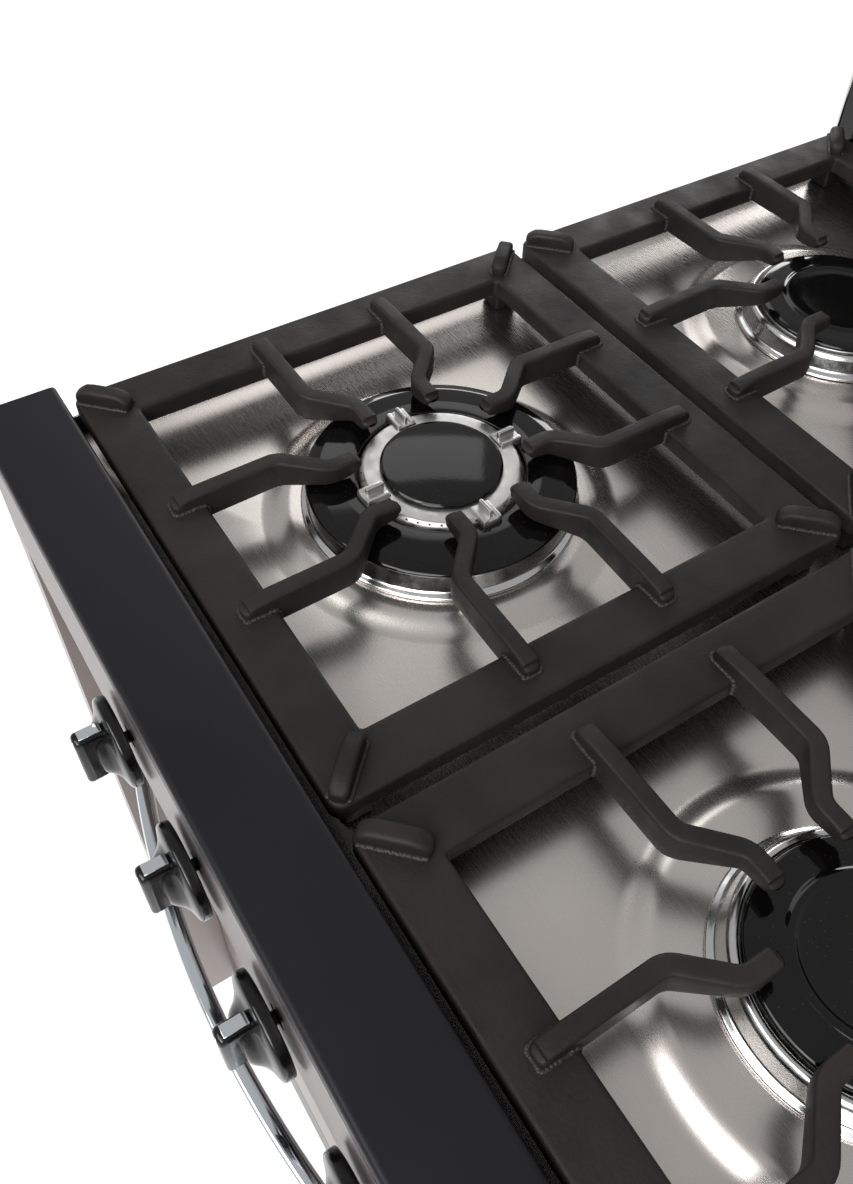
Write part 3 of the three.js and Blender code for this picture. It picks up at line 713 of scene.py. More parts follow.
class Look(Enum):
    """The finishes of this range."""

    IRON = CastIron("seasoned_cast_iron", "#100e0d", 0.56, gloss=0.22, light="#211c1a")
    WELD = CastIron("welded_seam_iron", "#151211", 0.5, gloss=0.3, light="#2a2523")
    STEEL = BrushedSteel("brushed_stainless_sheet", "#cbc4bf", 0.27, 1.0)
    # Painted shade: the cooktop's stainless with its colour darkened, so the front panels read as dim, shaded
    # steel.
    PANEL = BrushedSteel("painted_shade_stainless_panel", "#6b6361", 0.37, 1.0, light="#6f6765")
    # Painted shade: another copy of the cooktop's stainless with its colour darkened, for the side sheets and
    # the door skin.
    SHADED_CASING = BrushedSteel("painted_shade_stainless_casing", "#8a817e", 0.34, 1.0, light="#8e8582")
    STEEL_TRIM = PolishedMetal("polished_steel_trim", "#cfcfce", 0.16, 1.0)
    CHROME = PolishedMetal("buffed_chrome", "#dde3e8", 0.07, 1.0)
    LEDGE = SatinEnamel("charcoal_powder_coat", "#0f0f13", 0.44, gloss=0.22)
    ENAMEL = VitreousEnamel("black_fired_enamel", "#060505", 0.08, gloss=0.34)
    OVEN = VitreousEnamel("speckled_oven_enamel", "#1b1b1f", 0.3, fleck="#8d9096")
    PHENOLIC = Phenolic("black_moulded_phenolic", "#070708", 0.16, gloss=0.36)
    ALUMINIUM = CastMetal("die_cast_aluminium", "#b9b8b6", 0.4, 1.0)
    BRASS = CastMetal("pressed_brass", "#b8924e", 0.34, 1.0, grit=0.5)
    ZINC = ZincSheet("galvanised_sheet", "#8d9193", 0.42, 0.9)
    GLASS = TintedGlass("smoked_door_glass", "#30343a", 0.03)
    # Painted shade: near-black for the dark discs that stand in for the hollow gas ports.
    PORT_SHADE = SatinEnamel("painted_shade_port_bore", "#060606", 0.7)
    CERAMIC = SatinEnamel("white_spark_ceramic", "#e8e2d6", 0.35)
    ROPE = GlassFibre("braided_door_seal", "#5c5a55", 0.85)

    def on(self, piece: bpy.types.Object) -> None:
        """Gives a piece this finish in place of any other.

        Args:
            piece: The piece.
        """
        piece.data.materials.clear()
        piece.data.materials.append(self.value.material())


# ------------------------------------------------------------------ placing pieces


@dataclass
class Workshop:
    """Keeps the loaded frame and puts finished pieces on it."""

    frame: dict
    count: int = 0

    def place(
        self, piece: bpy.types.Object, body: str, look: Look, slot: str, replaces: tuple[str, ...] = ()
    ) -> bpy.types.Object:
        """Finishes a piece and makes it ride on its body.

        Args:
            piece: The finished object, at the origin.
            body: The body that it moves with.
            look: Its finish.
            slot: The record's material slot that it answers to. Not used.
            replaces: CAD nodes that it stands for.

        Returns:
            The same piece.
        """
        look.on(piece)
        if replaces:
            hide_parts(*replaces)
        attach(piece, body)
        self.count += 1
        LOG.info("piece %s on %s", piece.name, body)
        return piece

    def dress(self, node: str, look: Look, ease: float = 0.4) -> None:
        """Gives a CAD node its finish and softly eased edges.

        Args:
            node: The node's name.
            look: Its finish.
            ease: Width of the eased edge in millimetres, or 0 for none.
        """
        piece = self.frame["nodes"][node]
        look.on(piece)
        if ease:
            weld = piece.modifiers.new("weld", "WELD")
            weld.merge_threshold = MERGE
            bevel = piece.modifiers.new("ease", "BEVEL")
            bevel.width = ease * MM
            bevel.segments = 2
            bevel.limit_method = "ANGLE"
            bevel.angle_limit = math.radians(40)
        LOG.info("dressed %s", node)


def corners(node: str) -> tuple[Vector, Vector]:
    """A CAD node's lowest and highest corners in millimetres.

    Args:
        node: The node's name.

    Returns:
        The lowest and the highest corner.
    """
    low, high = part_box(node)
    return Vector(low) / MM, Vector(high) / MM


# ------------------------------------------------------------------ repeats by geometry nodes


def new_tree(name: str, sizes: dict[str, tuple[str, object]]) -> Tree:
    """Starts a geometry tree with a geometry input and named sizes.

    Args:
        name: The tree's name.
        sizes: Each input's socket type and default value, by name.

    Returns:
        The tree, with its group input and output nodes.
    """
    tree = bpy.data.node_groups.new(name, "GeometryNodeTree")
    tree.interface.new_socket("Geometry", in_out="INPUT", socket_type="NodeSocketGeometry")
    for label, (kind, value) in sizes.items():
        socket = tree.interface.new_socket(label, in_out="INPUT", socket_type=kind)
        socket.default_value = value
    tree.interface.new_socket("Geometry", in_out="OUTPUT", socket_type="NodeSocketGeometry")
    add_node(tree, "NodeGroupInput")
    add_node(tree, "NodeGroupOutput")
    return tree


def end_tree(tree: Tree, geometry: Socket, look: Look) -> Tree:
    """Ends a tree by realizing its instances and setting the finish.

    Args:
        tree: The geometry tree.
        geometry: The instances' socket.
        look: The finish.

    Returns:
        The same tree.
    """
    real = add_node(tree, "GeometryNodeRealizeInstances", links={"Geometry": geometry})
    smooth = add_node(tree, "GeometryNodeSetShadeSmooth", links={"Geometry": real.outputs[0]})
    painted = add_node(tree, "GeometryNodeSetMaterial", links={"Geometry": smooth.outputs[0]})
    painted.inputs["Material"].default_value = look.value.material()
    tree.links.new(painted.outputs[0], tree.nodes["Group Output"].inputs[0])
    return tree


def run_tree(name: str, points: list[Vector], edges: list[tuple[int, int]], tree: Tree,
             sizes: dict[str, object]) -> bpy.types.Object:
    """Runs a tree on a few points or lines and keeps its result as a plain mesh.

    Args:
        name: The piece's name.
        points: The guide's points in millimetres.
        edges: The guide's lines.
        tree: The geometry tree.
        sizes: Values for its named inputs.

    Returns:
        The finished object, at the origin.
    """
    guide_mesh = bpy.data.meshes.new(name + "_guide")
    guide_mesh.from_pydata([p * MM for p in points], edges, [])
    guide = bpy.data.objects.new(name + "_guide", guide_mesh)
    bpy.context.scene.collection.objects.link(guide)
    modifier = guide.modifiers.new("repeat", "NODES")
    modifier.node_group = tree
    for item in tree.interface.items_tree:
        if item.in_out == "INPUT" and item.name in sizes:
            modifier[item.identifier] = sizes[item.name]
    evaluated = guide.evaluated_get(bpy.context.evaluated_depsgraph_get())
    mesh = bpy.data.meshes.new_from_object(evaluated)
    mesh.name = name
    bpy.data.objects.remove(guide)
    made = bpy.data.objects.new(name, mesh)
    bpy.context.scene.collection.objects.link(made)
    return made


def bead_tree() -> Tree:
    """Small uneven lumps along lines, as hand welding leaves them.

    Returns:
        The geometry tree.
    """
    tree = new_tree("weld_beads", {
        "Spacing": ("NodeSocketFloat", 1.5 * MM), "Bead Radius": ("NodeSocketFloat", 1.5 * MM),
        "Seed": ("NodeSocketInt", 7)})
    given = tree.nodes["Group Input"].outputs
    curve = add_node(tree, "GeometryNodeMeshToCurve", links={"Mesh": given["Geometry"]})
    spots = add_node(tree, "GeometryNodeCurveToPoints", {"mode": "LENGTH"},
                     links={"Curve": curve.outputs[0], "Length": given["Spacing"]})
    ball = add_node(tree, "GeometryNodeMeshIcoSphere", values={"Subdivisions": 2},
                    links={"Radius": given["Bead Radius"]})
    size = add_node(tree, "FunctionNodeRandomValue", {"data_type": "FLOAT_VECTOR"},
                    links={"Seed": given["Seed"]})
    size.inputs[0].default_value = (0.85, 0.85, 0.45)
    size.inputs[1].default_value = (1.2, 1.2, 0.8)
    placed = add_node(tree, "GeometryNodeInstanceOnPoints", links={
        "Points": spots.outputs["Points"], "Instance": ball.outputs["Mesh"], "Scale": size.outputs[0]})
    return end_tree(tree, placed.outputs[0], Look.WELD)


def wire_tree(look: Look) -> Tree:
    """Round wires along lines, with flat closed ends.

    Args:
        look: The finish.

    Returns:
        The geometry tree.
    """
    tree = new_tree("round_wires",
                    {"Wire Radius": ("NodeSocketFloat", 3 * MM), "Sides": ("NodeSocketInt", 20)})
    given = tree.nodes["Group Input"].outputs
    curve = add_node(tree, "GeometryNodeMeshToCurve", links={"Mesh": given["Geometry"]})
    ring = add_node(tree, "GeometryNodeCurvePrimitiveCircle", links={
        "Resolution": given["Sides"], "Radius": given["Wire Radius"]})
    tube = add_node(tree, "GeometryNodeCurveToMesh", values={"Fill Caps": True}, links={
        "Curve": curve.outputs[0], "Profile Curve": ring.outputs[0]})
    return end_tree(tree, tube.outputs[0], look)


def stud_tree(name: str, look: Look) -> Tree:
    """A low round stud at each point, turned to face along a given direction.

    Args:
        name: The tree's name.
        look: The finish.

    Returns:
        The geometry tree.
    """
    tree = new_tree(name, {
        "Radius": ("NodeSocketFloat", 2 * MM), "Height": ("NodeSocketFloat", 1 * MM),
        "Turn": ("NodeSocketVector", (0.0, 0.0, 0.0))})
    given = tree.nodes["Group Input"].outputs
    drum = add_node(tree, "GeometryNodeMeshCylinder", values={"Vertices": 20}, links={
        "Radius": given["Radius"], "Depth": given["Height"]})
    spots = add_node(tree, "GeometryNodeMeshToPoints", links={"Mesh": given["Geometry"]})
    placed = add_node(tree, "GeometryNodeInstanceOnPoints", links={
        "Points": spots.outputs[0], "Instance": drum.outputs["Mesh"], "Rotation": given["Turn"]})
    return end_tree(tree, placed.outputs[0], look)


def port_tree() -> Tree:
    """A ring of small dark discs round each point: painted shade standing in for the gas ports' holes.

    Returns:
        The geometry tree.
    """
    tree = new_tree("port_rings", {
        "Ring Radius": ("NodeSocketFloat", 43 * MM), "Ports": ("NodeSocketInt", 32),
        "Port Radius": ("NodeSocketFloat", 1.1 * MM), "Depth": ("NodeSocketFloat", 1.2 * MM)})
    given = tree.nodes["Group Input"].outputs
    ring = add_node(tree, "GeometryNodeMeshCircle", links={
        "Vertices": given["Ports"], "Radius": given["Ring Radius"]})
    hole = add_node(tree, "GeometryNodeMeshCylinder", values={"Vertices": 14}, links={
        "Radius": given["Port Radius"], "Depth": given["Depth"]})
    where = add_node(tree, "GeometryNodeInputPosition")
    aim = add_node(tree, "FunctionNodeAlignRotationToVector", {"axis": "Z"},
                   links={"Vector": where.outputs[0]})
    one = add_node(tree, "GeometryNodeInstanceOnPoints", links={
        "Points": ring.outputs[0], "Instance": hole.outputs["Mesh"], "Rotation": aim.outputs[0]})
    flat = add_node(tree, "GeometryNodeRealizeInstances", links={"Geometry": one.outputs[0]})
    spots = add_node(tree, "GeometryNodeMeshToPoints", links={"Mesh": given["Geometry"]})
    placed = add_node(tree, "GeometryNodeInstanceOnPoints", links={
        "Points": spots.outputs[0], "Instance": flat.outputs[0]})
    return end_tree(tree, placed.outputs[0], Look.PORT_SHADE)


# ------------------------------------------------------------------ grates


@dataclass
class Grate:
    """One cast grate: a frame, eight bent fingers, four corner lugs and four feet."""

    shop: Workshop
    name: str
    bar: float = 28.5
    thick: float = 12.0
    finger: float = 9.0
    spread: float = 39.0
    close: float = 19.5
    tip: float = 38.0
    bend_inner: float = 55.0
    bend_outer: float = 76.0
    foot_inset: float = 12.0
    rise: float = 8.5
    lug: float = 31.0
    lug_rise: float = 9.0
    pad: float = 16.0

    def build(self, beads: Tree, seed: int) -> None:
        """Makes the grate and its weld seams.

        Args:
            beads: The weld bead tree.
            seed: Seed for the beads' sizes.
        """
        low, high = corners(f"grate_{self.name}")
        self.half = Vector(((high.x - low.x) / 2, (high.y - low.y) / 2))
        self.centre = Vector(((low.x + high.x) / 2, (low.y + high.y) / 2, high.z - self.lug_rise))
        self.foot_low = low.z - self.centre.z
        body = f"grate_{self.name}"
        shell = Shell()
        self._frame(shell)
        lines: list[tuple[Vector, Vector]] = []
        for side in range(4):
            reach = (self.half.x if side % 2 == 0 else self.half.y) - self.foot_inset
            inner = reach + self.foot_inset - self.bar
            for mirror in (1, -1):
                start = len(shell.verts)
                self._finger(shell, reach, inner, mirror)
                turn = Matrix.Rotation(side * math.pi / 2, 4, "Z")
                shell.turn(turn, start)
                for a, b in self._finger_seam(reach, inner, mirror):
                    lines.append((turn @ a, turn @ b))
        for sx, sy in ((-1, -1), (1, -1), (1, 1), (-1, 1)):
            spot = Vector((sx * (self.half.x - self.bar / 2), sy * (self.half.y - self.bar / 2), 0))
            place = Matrix.Translation(spot) @ Matrix.Rotation(sx * sy * math.pi / 4, 4, "Z")
            start = len(shell.verts)
            self._lug(shell)
            shell.turn(place, start)
            for across in (-1, 1):
                y = across * self.finger / 2
                lines.append((place @ Vector((2 - self.lug / 2, y, 0.2)),
                              place @ Vector((self.lug / 2 - 2, y, 0.2))))
            shell.post(spot, self.pad, self.pad, self.foot_low, 1 - self.thick, 2.0)
        shell.turn(Matrix.Translation(self.centre))
        made = shell.build(f"cast_grate_{self.name}", 50)
        self.shop.place(made, body, Look.IRON, "cast_iron", (body,))
        points = [self.centre + p for line in lines for p in line]
        edges = [(2 * i, 2 * i + 1) for i in range(len(lines))]
        seam = run_tree(f"weld_seams_{self.name}", points, edges, beads,
                        {"Spacing": 0.9 * MM, "Bead Radius": 1.5 * MM, "Seed": seed})
        self.shop.place(seam, body, Look.WELD, "cast_iron")

    def _frame(self, shell: Shell) -> None:
        """The flat frame, with eased edges all round its bar.

        Args:
            shell: The mesh to add to.
        """
        outline = fillet([(0, -self.thick), (self.bar, -self.thick), (self.bar, 0), (0, 0)], 2.6, 5)
        rings = []
        for inset, z in outline:
            round_ = 7.0 - 4.5 * inset / self.bar
            loop = rect_loop(2 * (self.half.x - inset), 2 * (self.half.y - inset), round_, 6)
            rings.append([Vector((x, y, z)) for x, y in loop])
        shell.loft(rings, loop=True)

    def _levels(self, s: float, reach: float, inner: float) -> Point:
        """Underside and top of a finger at a distance s from the burner's middle.

        Args:
            s: The distance.
            reach: Where the finger's foot ends.
            inner: Where the frame's inner edge is.

        Returns:
            The two heights.
        """
        up = self.rise
        top = ramp(s, [(self.tip, up - 2.2), (self.tip + 1.2, up - 0.5), (self.tip + 4, up),
                       (self.bend_outer, up),
                       (reach - 16, up - 0.6), (reach - 5, up - 1.4), (reach - 1.5, up - 2.4),
                       (reach, up - 3.8)])
        low = ramp(s, [(self.tip, up - 6), (self.tip + 4, up - 8.5), (self.bend_inner, -2.5),
                       (self.bend_outer, -8.5),
                       (inner + 2, -9.7), (inner + 6, -9.2), (inner + 9, -4), (reach, -2)])
        return low, top

    def _finger(self, shell: Shell, reach: float, inner: float, mirror: int) -> None:
        """One finger along +X, from its foot on the frame to its rounded tip.

        Args:
            shell: The mesh to add to.
            reach: Where the finger's foot ends.
            inner: Where the frame's inner edge is.
            mirror: 1 for the finger on the +Y side, -1 for its twin.
        """
        plan = [(reach, self.spread), (self.bend_outer, self.spread),
                (self.bend_inner, self.close), (self.tip, self.close)]
        path = [Vector(p) for p in fillet(plan, 4.5, 5, closed=False)]
        spots: list[Vector] = []
        for a, b in zip(path, path[1:]):
            count = max(1, round((b - a).length / 3))
            spots.extend(a.lerp(b, k / count) for k in range(count))
        spots.append(path[-1])
        ends = [(0.0, 0.35), (0.5, 0.68), (1.4, 0.9), (2.6, 1.0)]
        rings = []
        for i, spot in enumerate(spots):
            ahead = spots[min(i + 1, len(spots) - 1)] - spots[max(i - 1, 0)]
            side = Vector((ahead.y, -ahead.x)).normalized()
            low, top = self._levels(spot.x, reach, inner)
            stations = [(spot, 1.0)]
            step = ahead.normalized()
            if i == 0:
                stations = [(spot + step * d, w) for d, w in ends]
            if i == len(spots) - 1:
                stations = [(spot - step * d, w) for d, w in reversed(ends)]
            if 0 < i < len(spots) - 1 and min((spot - spots[0]).length, (spot - spots[-1]).length) < 2.8:
                continue
            for where, wide in stations:
                ease = (1 - wide) * 4
                loop = rect_loop(self.finger * wide, top - low - ease, min(1.8, self.finger * wide / 2 - 0.2),
                                 4)
                middle = (top + low) / 2
                rings.append([
                    Vector((where.x + side.x * u, (where.y + side.y * u) * mirror, middle + v)) for u,
                    v in loop])
        shell.loft(rings)

    def _finger_seam(self, reach: float, inner: float, mirror: int) -> list[tuple[Vector, Vector]]:
        """Weld lines on both sides of a finger's foot and round its end.

        Args:
            reach: Where the finger's foot ends.
            inner: Where the frame's inner edge is.
            mirror: 1 for the finger on the +Y side, -1 for its twin.

        Returns:
            Each line's two ends.
        """
        half = self.finger / 2
        y0, y1 = (self.spread - half) * mirror, (self.spread + half) * mirror
        return [
            (Vector((inner + 1, y0, 0.1)), Vector((reach - 1, y0, 0.1))),
            (Vector((inner + 1, y1, 0.1)), Vector((reach - 1, y1, 0.1))),
            (Vector((reach - 0.4, y0 + mirror, 0.1)), Vector((reach - 0.4, y1 - mirror, 0.1))),
            (Vector((inner - 0.3, y0, -1.5)), Vector((inner - 0.3, y0, -8))),
            (Vector((inner - 0.3, y1, -1.5)), Vector((inner - 0.3, y1, -8))),
        ]

    def _lug(self, shell: Shell) -> None:
        """One corner lug along X, higher in the middle than at its ends.

        Args:
            shell: The mesh to add to.
        """
        half = self.lug / 2
        rings = []
        gaps = (0, 0.5, 2, 5, 9)
        for x in [gap - half for gap in gaps] + [0.0] + [half - gap for gap in reversed(gaps)]:
            gap = half - abs(x)
            wide = ramp(gap, [(0, 0.5), (0.5, 0.78), (2, 1.0)])
            top = ramp(gap, [(0, 4.6), (0.5, 5.4), (2, 6.4), (5, 8.4), (9, 9.0)])
            loop = rect_loop(self.finger * wide, top + 1, min(2.4, self.finger * wide / 2 - 0.2), 4)
            rings.append([Vector((x, u, (top - 1) / 2 + v)) for u, v in loop])
        shell.loft(rings)


# ------------------------------------------------------------------ burners


@dataclass
class Burner:
    """What both kinds of burner share: a bright flanged base, gas ports and a spark electrode."""

    shop: Workshop
    name: str
    base: float = 75.0
    wall: float = 11.0
    cup: float = 36.0
    cup_depth: float = 34.0

    def build(self, ports: Tree) -> None:
        """Makes the burner's pieces.

        Args:
            ports: The port ring tree.
        """
        low, high = corners(f"burner_base_{self.name}")
        self.middle = Vector(((low.x + high.x) / 2, (low.y + high.y) / 2, low.z + self.cup_depth))
        self._base()
        self._crown()
        self._ports(ports)
        self._caps()
        self._spark()

    def _turned(self, label: str, outline: list[Point], look: Look, slot: str, body: str, node: str) -> None:
        """Turns one round piece about the burner's axis and puts it in place of its node.

        Args:
            label: The piece's name without the burner's.
            outline: Its outline as radius and height above the dome.
            look: Its finish.
            slot: Its material slot.
            body: The body that it rides on.
            node: The CAD node that it replaces.
        """
        shell = Shell()
        shell.lathe(outline, self.middle, sides=128)
        self.shop.place(shell.build(f"{label}_{self.name}", 45), body, look, slot, (node,))

    def _base(self) -> None:
        """The flanged wall on the dome, with the gas cup under it."""
        wall, cup = self.base - 4, self.cup
        outline = [
            (14, -self.cup_depth), (cup, -self.cup_depth), (cup, 0.35), (self.base, 0.35), (self.base, 2.2),
            (wall + 0.6, 3.6), (wall - 2.2, self.wall + 1), (wall - 4, self.wall + 2.9),
            (wall - 6.5, self.wall + 2.4),
            (wall - 8, self.wall), (wall - 8, 4), (cup - 2, 4), (cup - 2, 2 - self.cup_depth),
            (14, 2 - self.cup_depth),
        ]
        node = f"burner_base_{self.name}"
        self._turned("bright_base", fillet(outline, 1.1, 4), Look.STEEL_TRIM, "chrome", "case", node)

    def _crown(self) -> None:
        """The part that the flame leaves from. Each kind has its own."""
        raise NotImplementedError

    def _ports(self, ports: Tree) -> None:
        """The rings of gas ports. Each kind has its own.

        Args:
            ports: The port ring tree.
        """
        raise NotImplementedError

    def _caps(self) -> None:
        """The black caps. Each kind has its own."""
        raise NotImplementedError

    def _port_ring(self, ports: Tree, label: str, level: float, radius: float, count: int,
                   size: float) -> None:
        """Adds one ring of ports, as dark discs of painted shade.

        Args:
            ports: The port ring tree.
            label: The ring's name.
            level: Its height above the dome.
            radius: Its radius.
            count: How many ports it has.
            size: Each port's radius.
        """
        dots = run_tree(f"{label}_ports_{self.name}", [self.middle + Vector((0, 0, level))], [], ports, {
            "Ring Radius": radius * MM, "Ports": count, "Port Radius": size * MM, "Depth": 0.9 * MM})
        self.shop.place(dots, "case", Look.PORT_SHADE, "aluminium")

    def _spark(self) -> None:
        """The spark electrode: a ceramic collar with a steel tip, beside the base's wall."""
        angle = math.radians(-24)
        foot = self.middle + Vector((math.cos(angle), math.sin(angle), 0)) * (self.base + 4.2)
        shell = Shell()
        shell.lathe([(0, -7), (2.7, -7), (2.7, 2.0), (2.2, 2.6), (2.2, 7.4), (1.6, 8.2), (0, 8.2)], foot,
                    sides=40)
        made = shell.build(f"spark_ceramic_{self.name}", 40)
        self.shop.place(made, "case", Look.CERAMIC, "aluminium")
        shell = Shell()
        shell.lathe([(0, 7.6), (0.8, 7.6), (0.8, 11.4), (0.5, 11.9), (0, 12)], foot, sides=24)
        made = shell.build(f"spark_tip_{self.name}", 40)
        self.shop.place(made, "case", Look.STEEL_TRIM, "chrome")


@dataclass
class LargeBurner(Burner):
    """The large burner: an aluminium crown with bridge blocks between a black ring and a domed cap."""

    crown: float = 43.0
    ring_inset: float = 3.5
    cap: float = 32.5

    def _crown(self) -> None:
        """The spreader plate and port wall, with four ribbed bridge blocks."""
        plate, cap, crown = self.base - 14, self.cap, self.crown
        outline = [
            (cap - 5, 4.4), (plate - 1, 4.4), (plate + 1, 14), (crown + 1, 14), (crown, 20),
            (crown - 1.6, 21.9),
            (cap - 1, 21.9), (cap - 5, 18),
        ]
        shell = Shell()
        shell.lathe(fillet(outline, 0.9, 3), self.middle, sides=128)
        middle = (cap + crown + 6.5) / 2
        for k in range(4):
            start = len(shell.verts)
            shell.post(Vector((middle, 0, 0)), crown + 5 - cap - 1.5, 11.8, 19.2, 23.4, 1.0)
            for across in (-4.0, 4.0):
                shell.post(Vector((middle + 0.3, across, 0)), crown + 4 - cap - 1.5, 3.0, 22.0, 24.0, 0.9)
            shell.post(Vector((middle - 0.4, 0, 0)), crown - cap, 2.5, 22.6, 28.0, 1.0)
            shell.turn(Matrix.Translation(self.middle) @ Matrix.Rotation(k * math.pi / 2, 4, "Z"), start)
        made = shell.build(f"cast_crown_{self.name}", 40)
        self.shop.place(made, "case", Look.ALUMINIUM, "aluminium", (f"burner_crown_{self.name}",))

    def _ports(self, ports: Tree) -> None:
        """Two rings of ports: small ones under the cap and larger ones above the ring.

        Args:
            ports: The port ring tree.
        """
        self._port_ring(ports, "upper", 20.6, self.crown - 0.9, 44, 0.75)
        self._port_ring(ports, "lower", 16.6, self.crown + 0.3, 28, 1.0)

    def _caps(self) -> None:
        """The black ring on the spreader plate and the domed cap in the middle."""
        inner, ring = self.crown + 1.8, self.base - self.ring_inset
        outline = [
            (inner, 14.3), (ring - 0.6, 14.5), (ring + 0.4, 15.2), (ring + 0.5, 16.4), (ring - 0.6, 17.4),
            (ring - 6, 18.8), (inner + 9, 19.9), (inner + 4, 20), (inner + 0.6, 19.7), (inner, 19.1),
        ]
        self._turned("ring_plate", fillet(outline, 0.8, 3), Look.ENAMEL, "black_enamel", "case",
                     f"ring_cap_{self.name}")
        rim, cap = 22.3, self.cap
        edge = cap - 1.3
        outline = [(0, 16), (cap - 8, 16), (cap - 8, rim), (cap - 0.9, rim), (cap, rim + 0.8),
                   (cap - 0.1, rim + 1.5),
                   (edge, rim + 2.6)]
        outline += [(edge * (1 - k / 12), rim + 2.6 + 1.7 * (1 - (1 - k / 12) ** 2)) for k in range(1, 13)]
        body = f"centre_cap_{self.name}"
        self._turned("domed_cap", fillet(outline, 0.35, 3, closed=False), Look.ENAMEL, "black_enamel", body,
                     body)


@dataclass
class SmallBurner(Burner):
    """A plain burner: a port ring under a one-piece black cap with a raised ridge."""

    base: float = 62.5
    cap_inset: float = 11.3
    ridge: float = 33.5

    def _crown(self) -> None:
        """The plain aluminium port ring."""
        inner, outer = self.base - 30, self.base - 13
        outline = [(inner, 4.4), (outer, 4.4), (outer, 13), (outer - 2, 13.9), (inner, 13.9)]
        self._turned("port_ring", fillet(outline, 0.7, 3), Look.ALUMINIUM, "aluminium", "case",
                     f"burner_crown_{self.name}")

    def _ports(self, ports: Tree) -> None:
        """One ring of slots under the cap's edge.

        Args:
            ports: The port ring tree.
        """
        self._port_ring(ports, "main", 10.4, self.base - 13, 36, 1.3)

    def _caps(self) -> None:
        """The black cap."""
        rim, spigot, ridge = self.base - self.cap_inset, self.base - 31.5, self.ridge
        outline = [
            (0, 8), (spigot, 8), (spigot, 14.3), (rim - 0.8, 14.3), (rim, 15.0), (rim - 0.1, 15.9),
            (rim - 1.2, 17.0),
            (rim - 6, 17.8), (ridge + 3, 18.3), (ridge + 1.2, 19.2), (ridge, 19.4), (ridge - 1.2, 19.2),
            (ridge - 2.8, 18.1), (ridge - 8, 17.7), (0, 17.5),
        ]
        body = f"centre_cap_{self.name}"
        self._turned("ridged_cap", fillet(outline, 0.9, 3, closed=False), Look.ENAMEL, "black_enamel", body,
                     body)


# ------------------------------------------------------------------ cooktop and casing


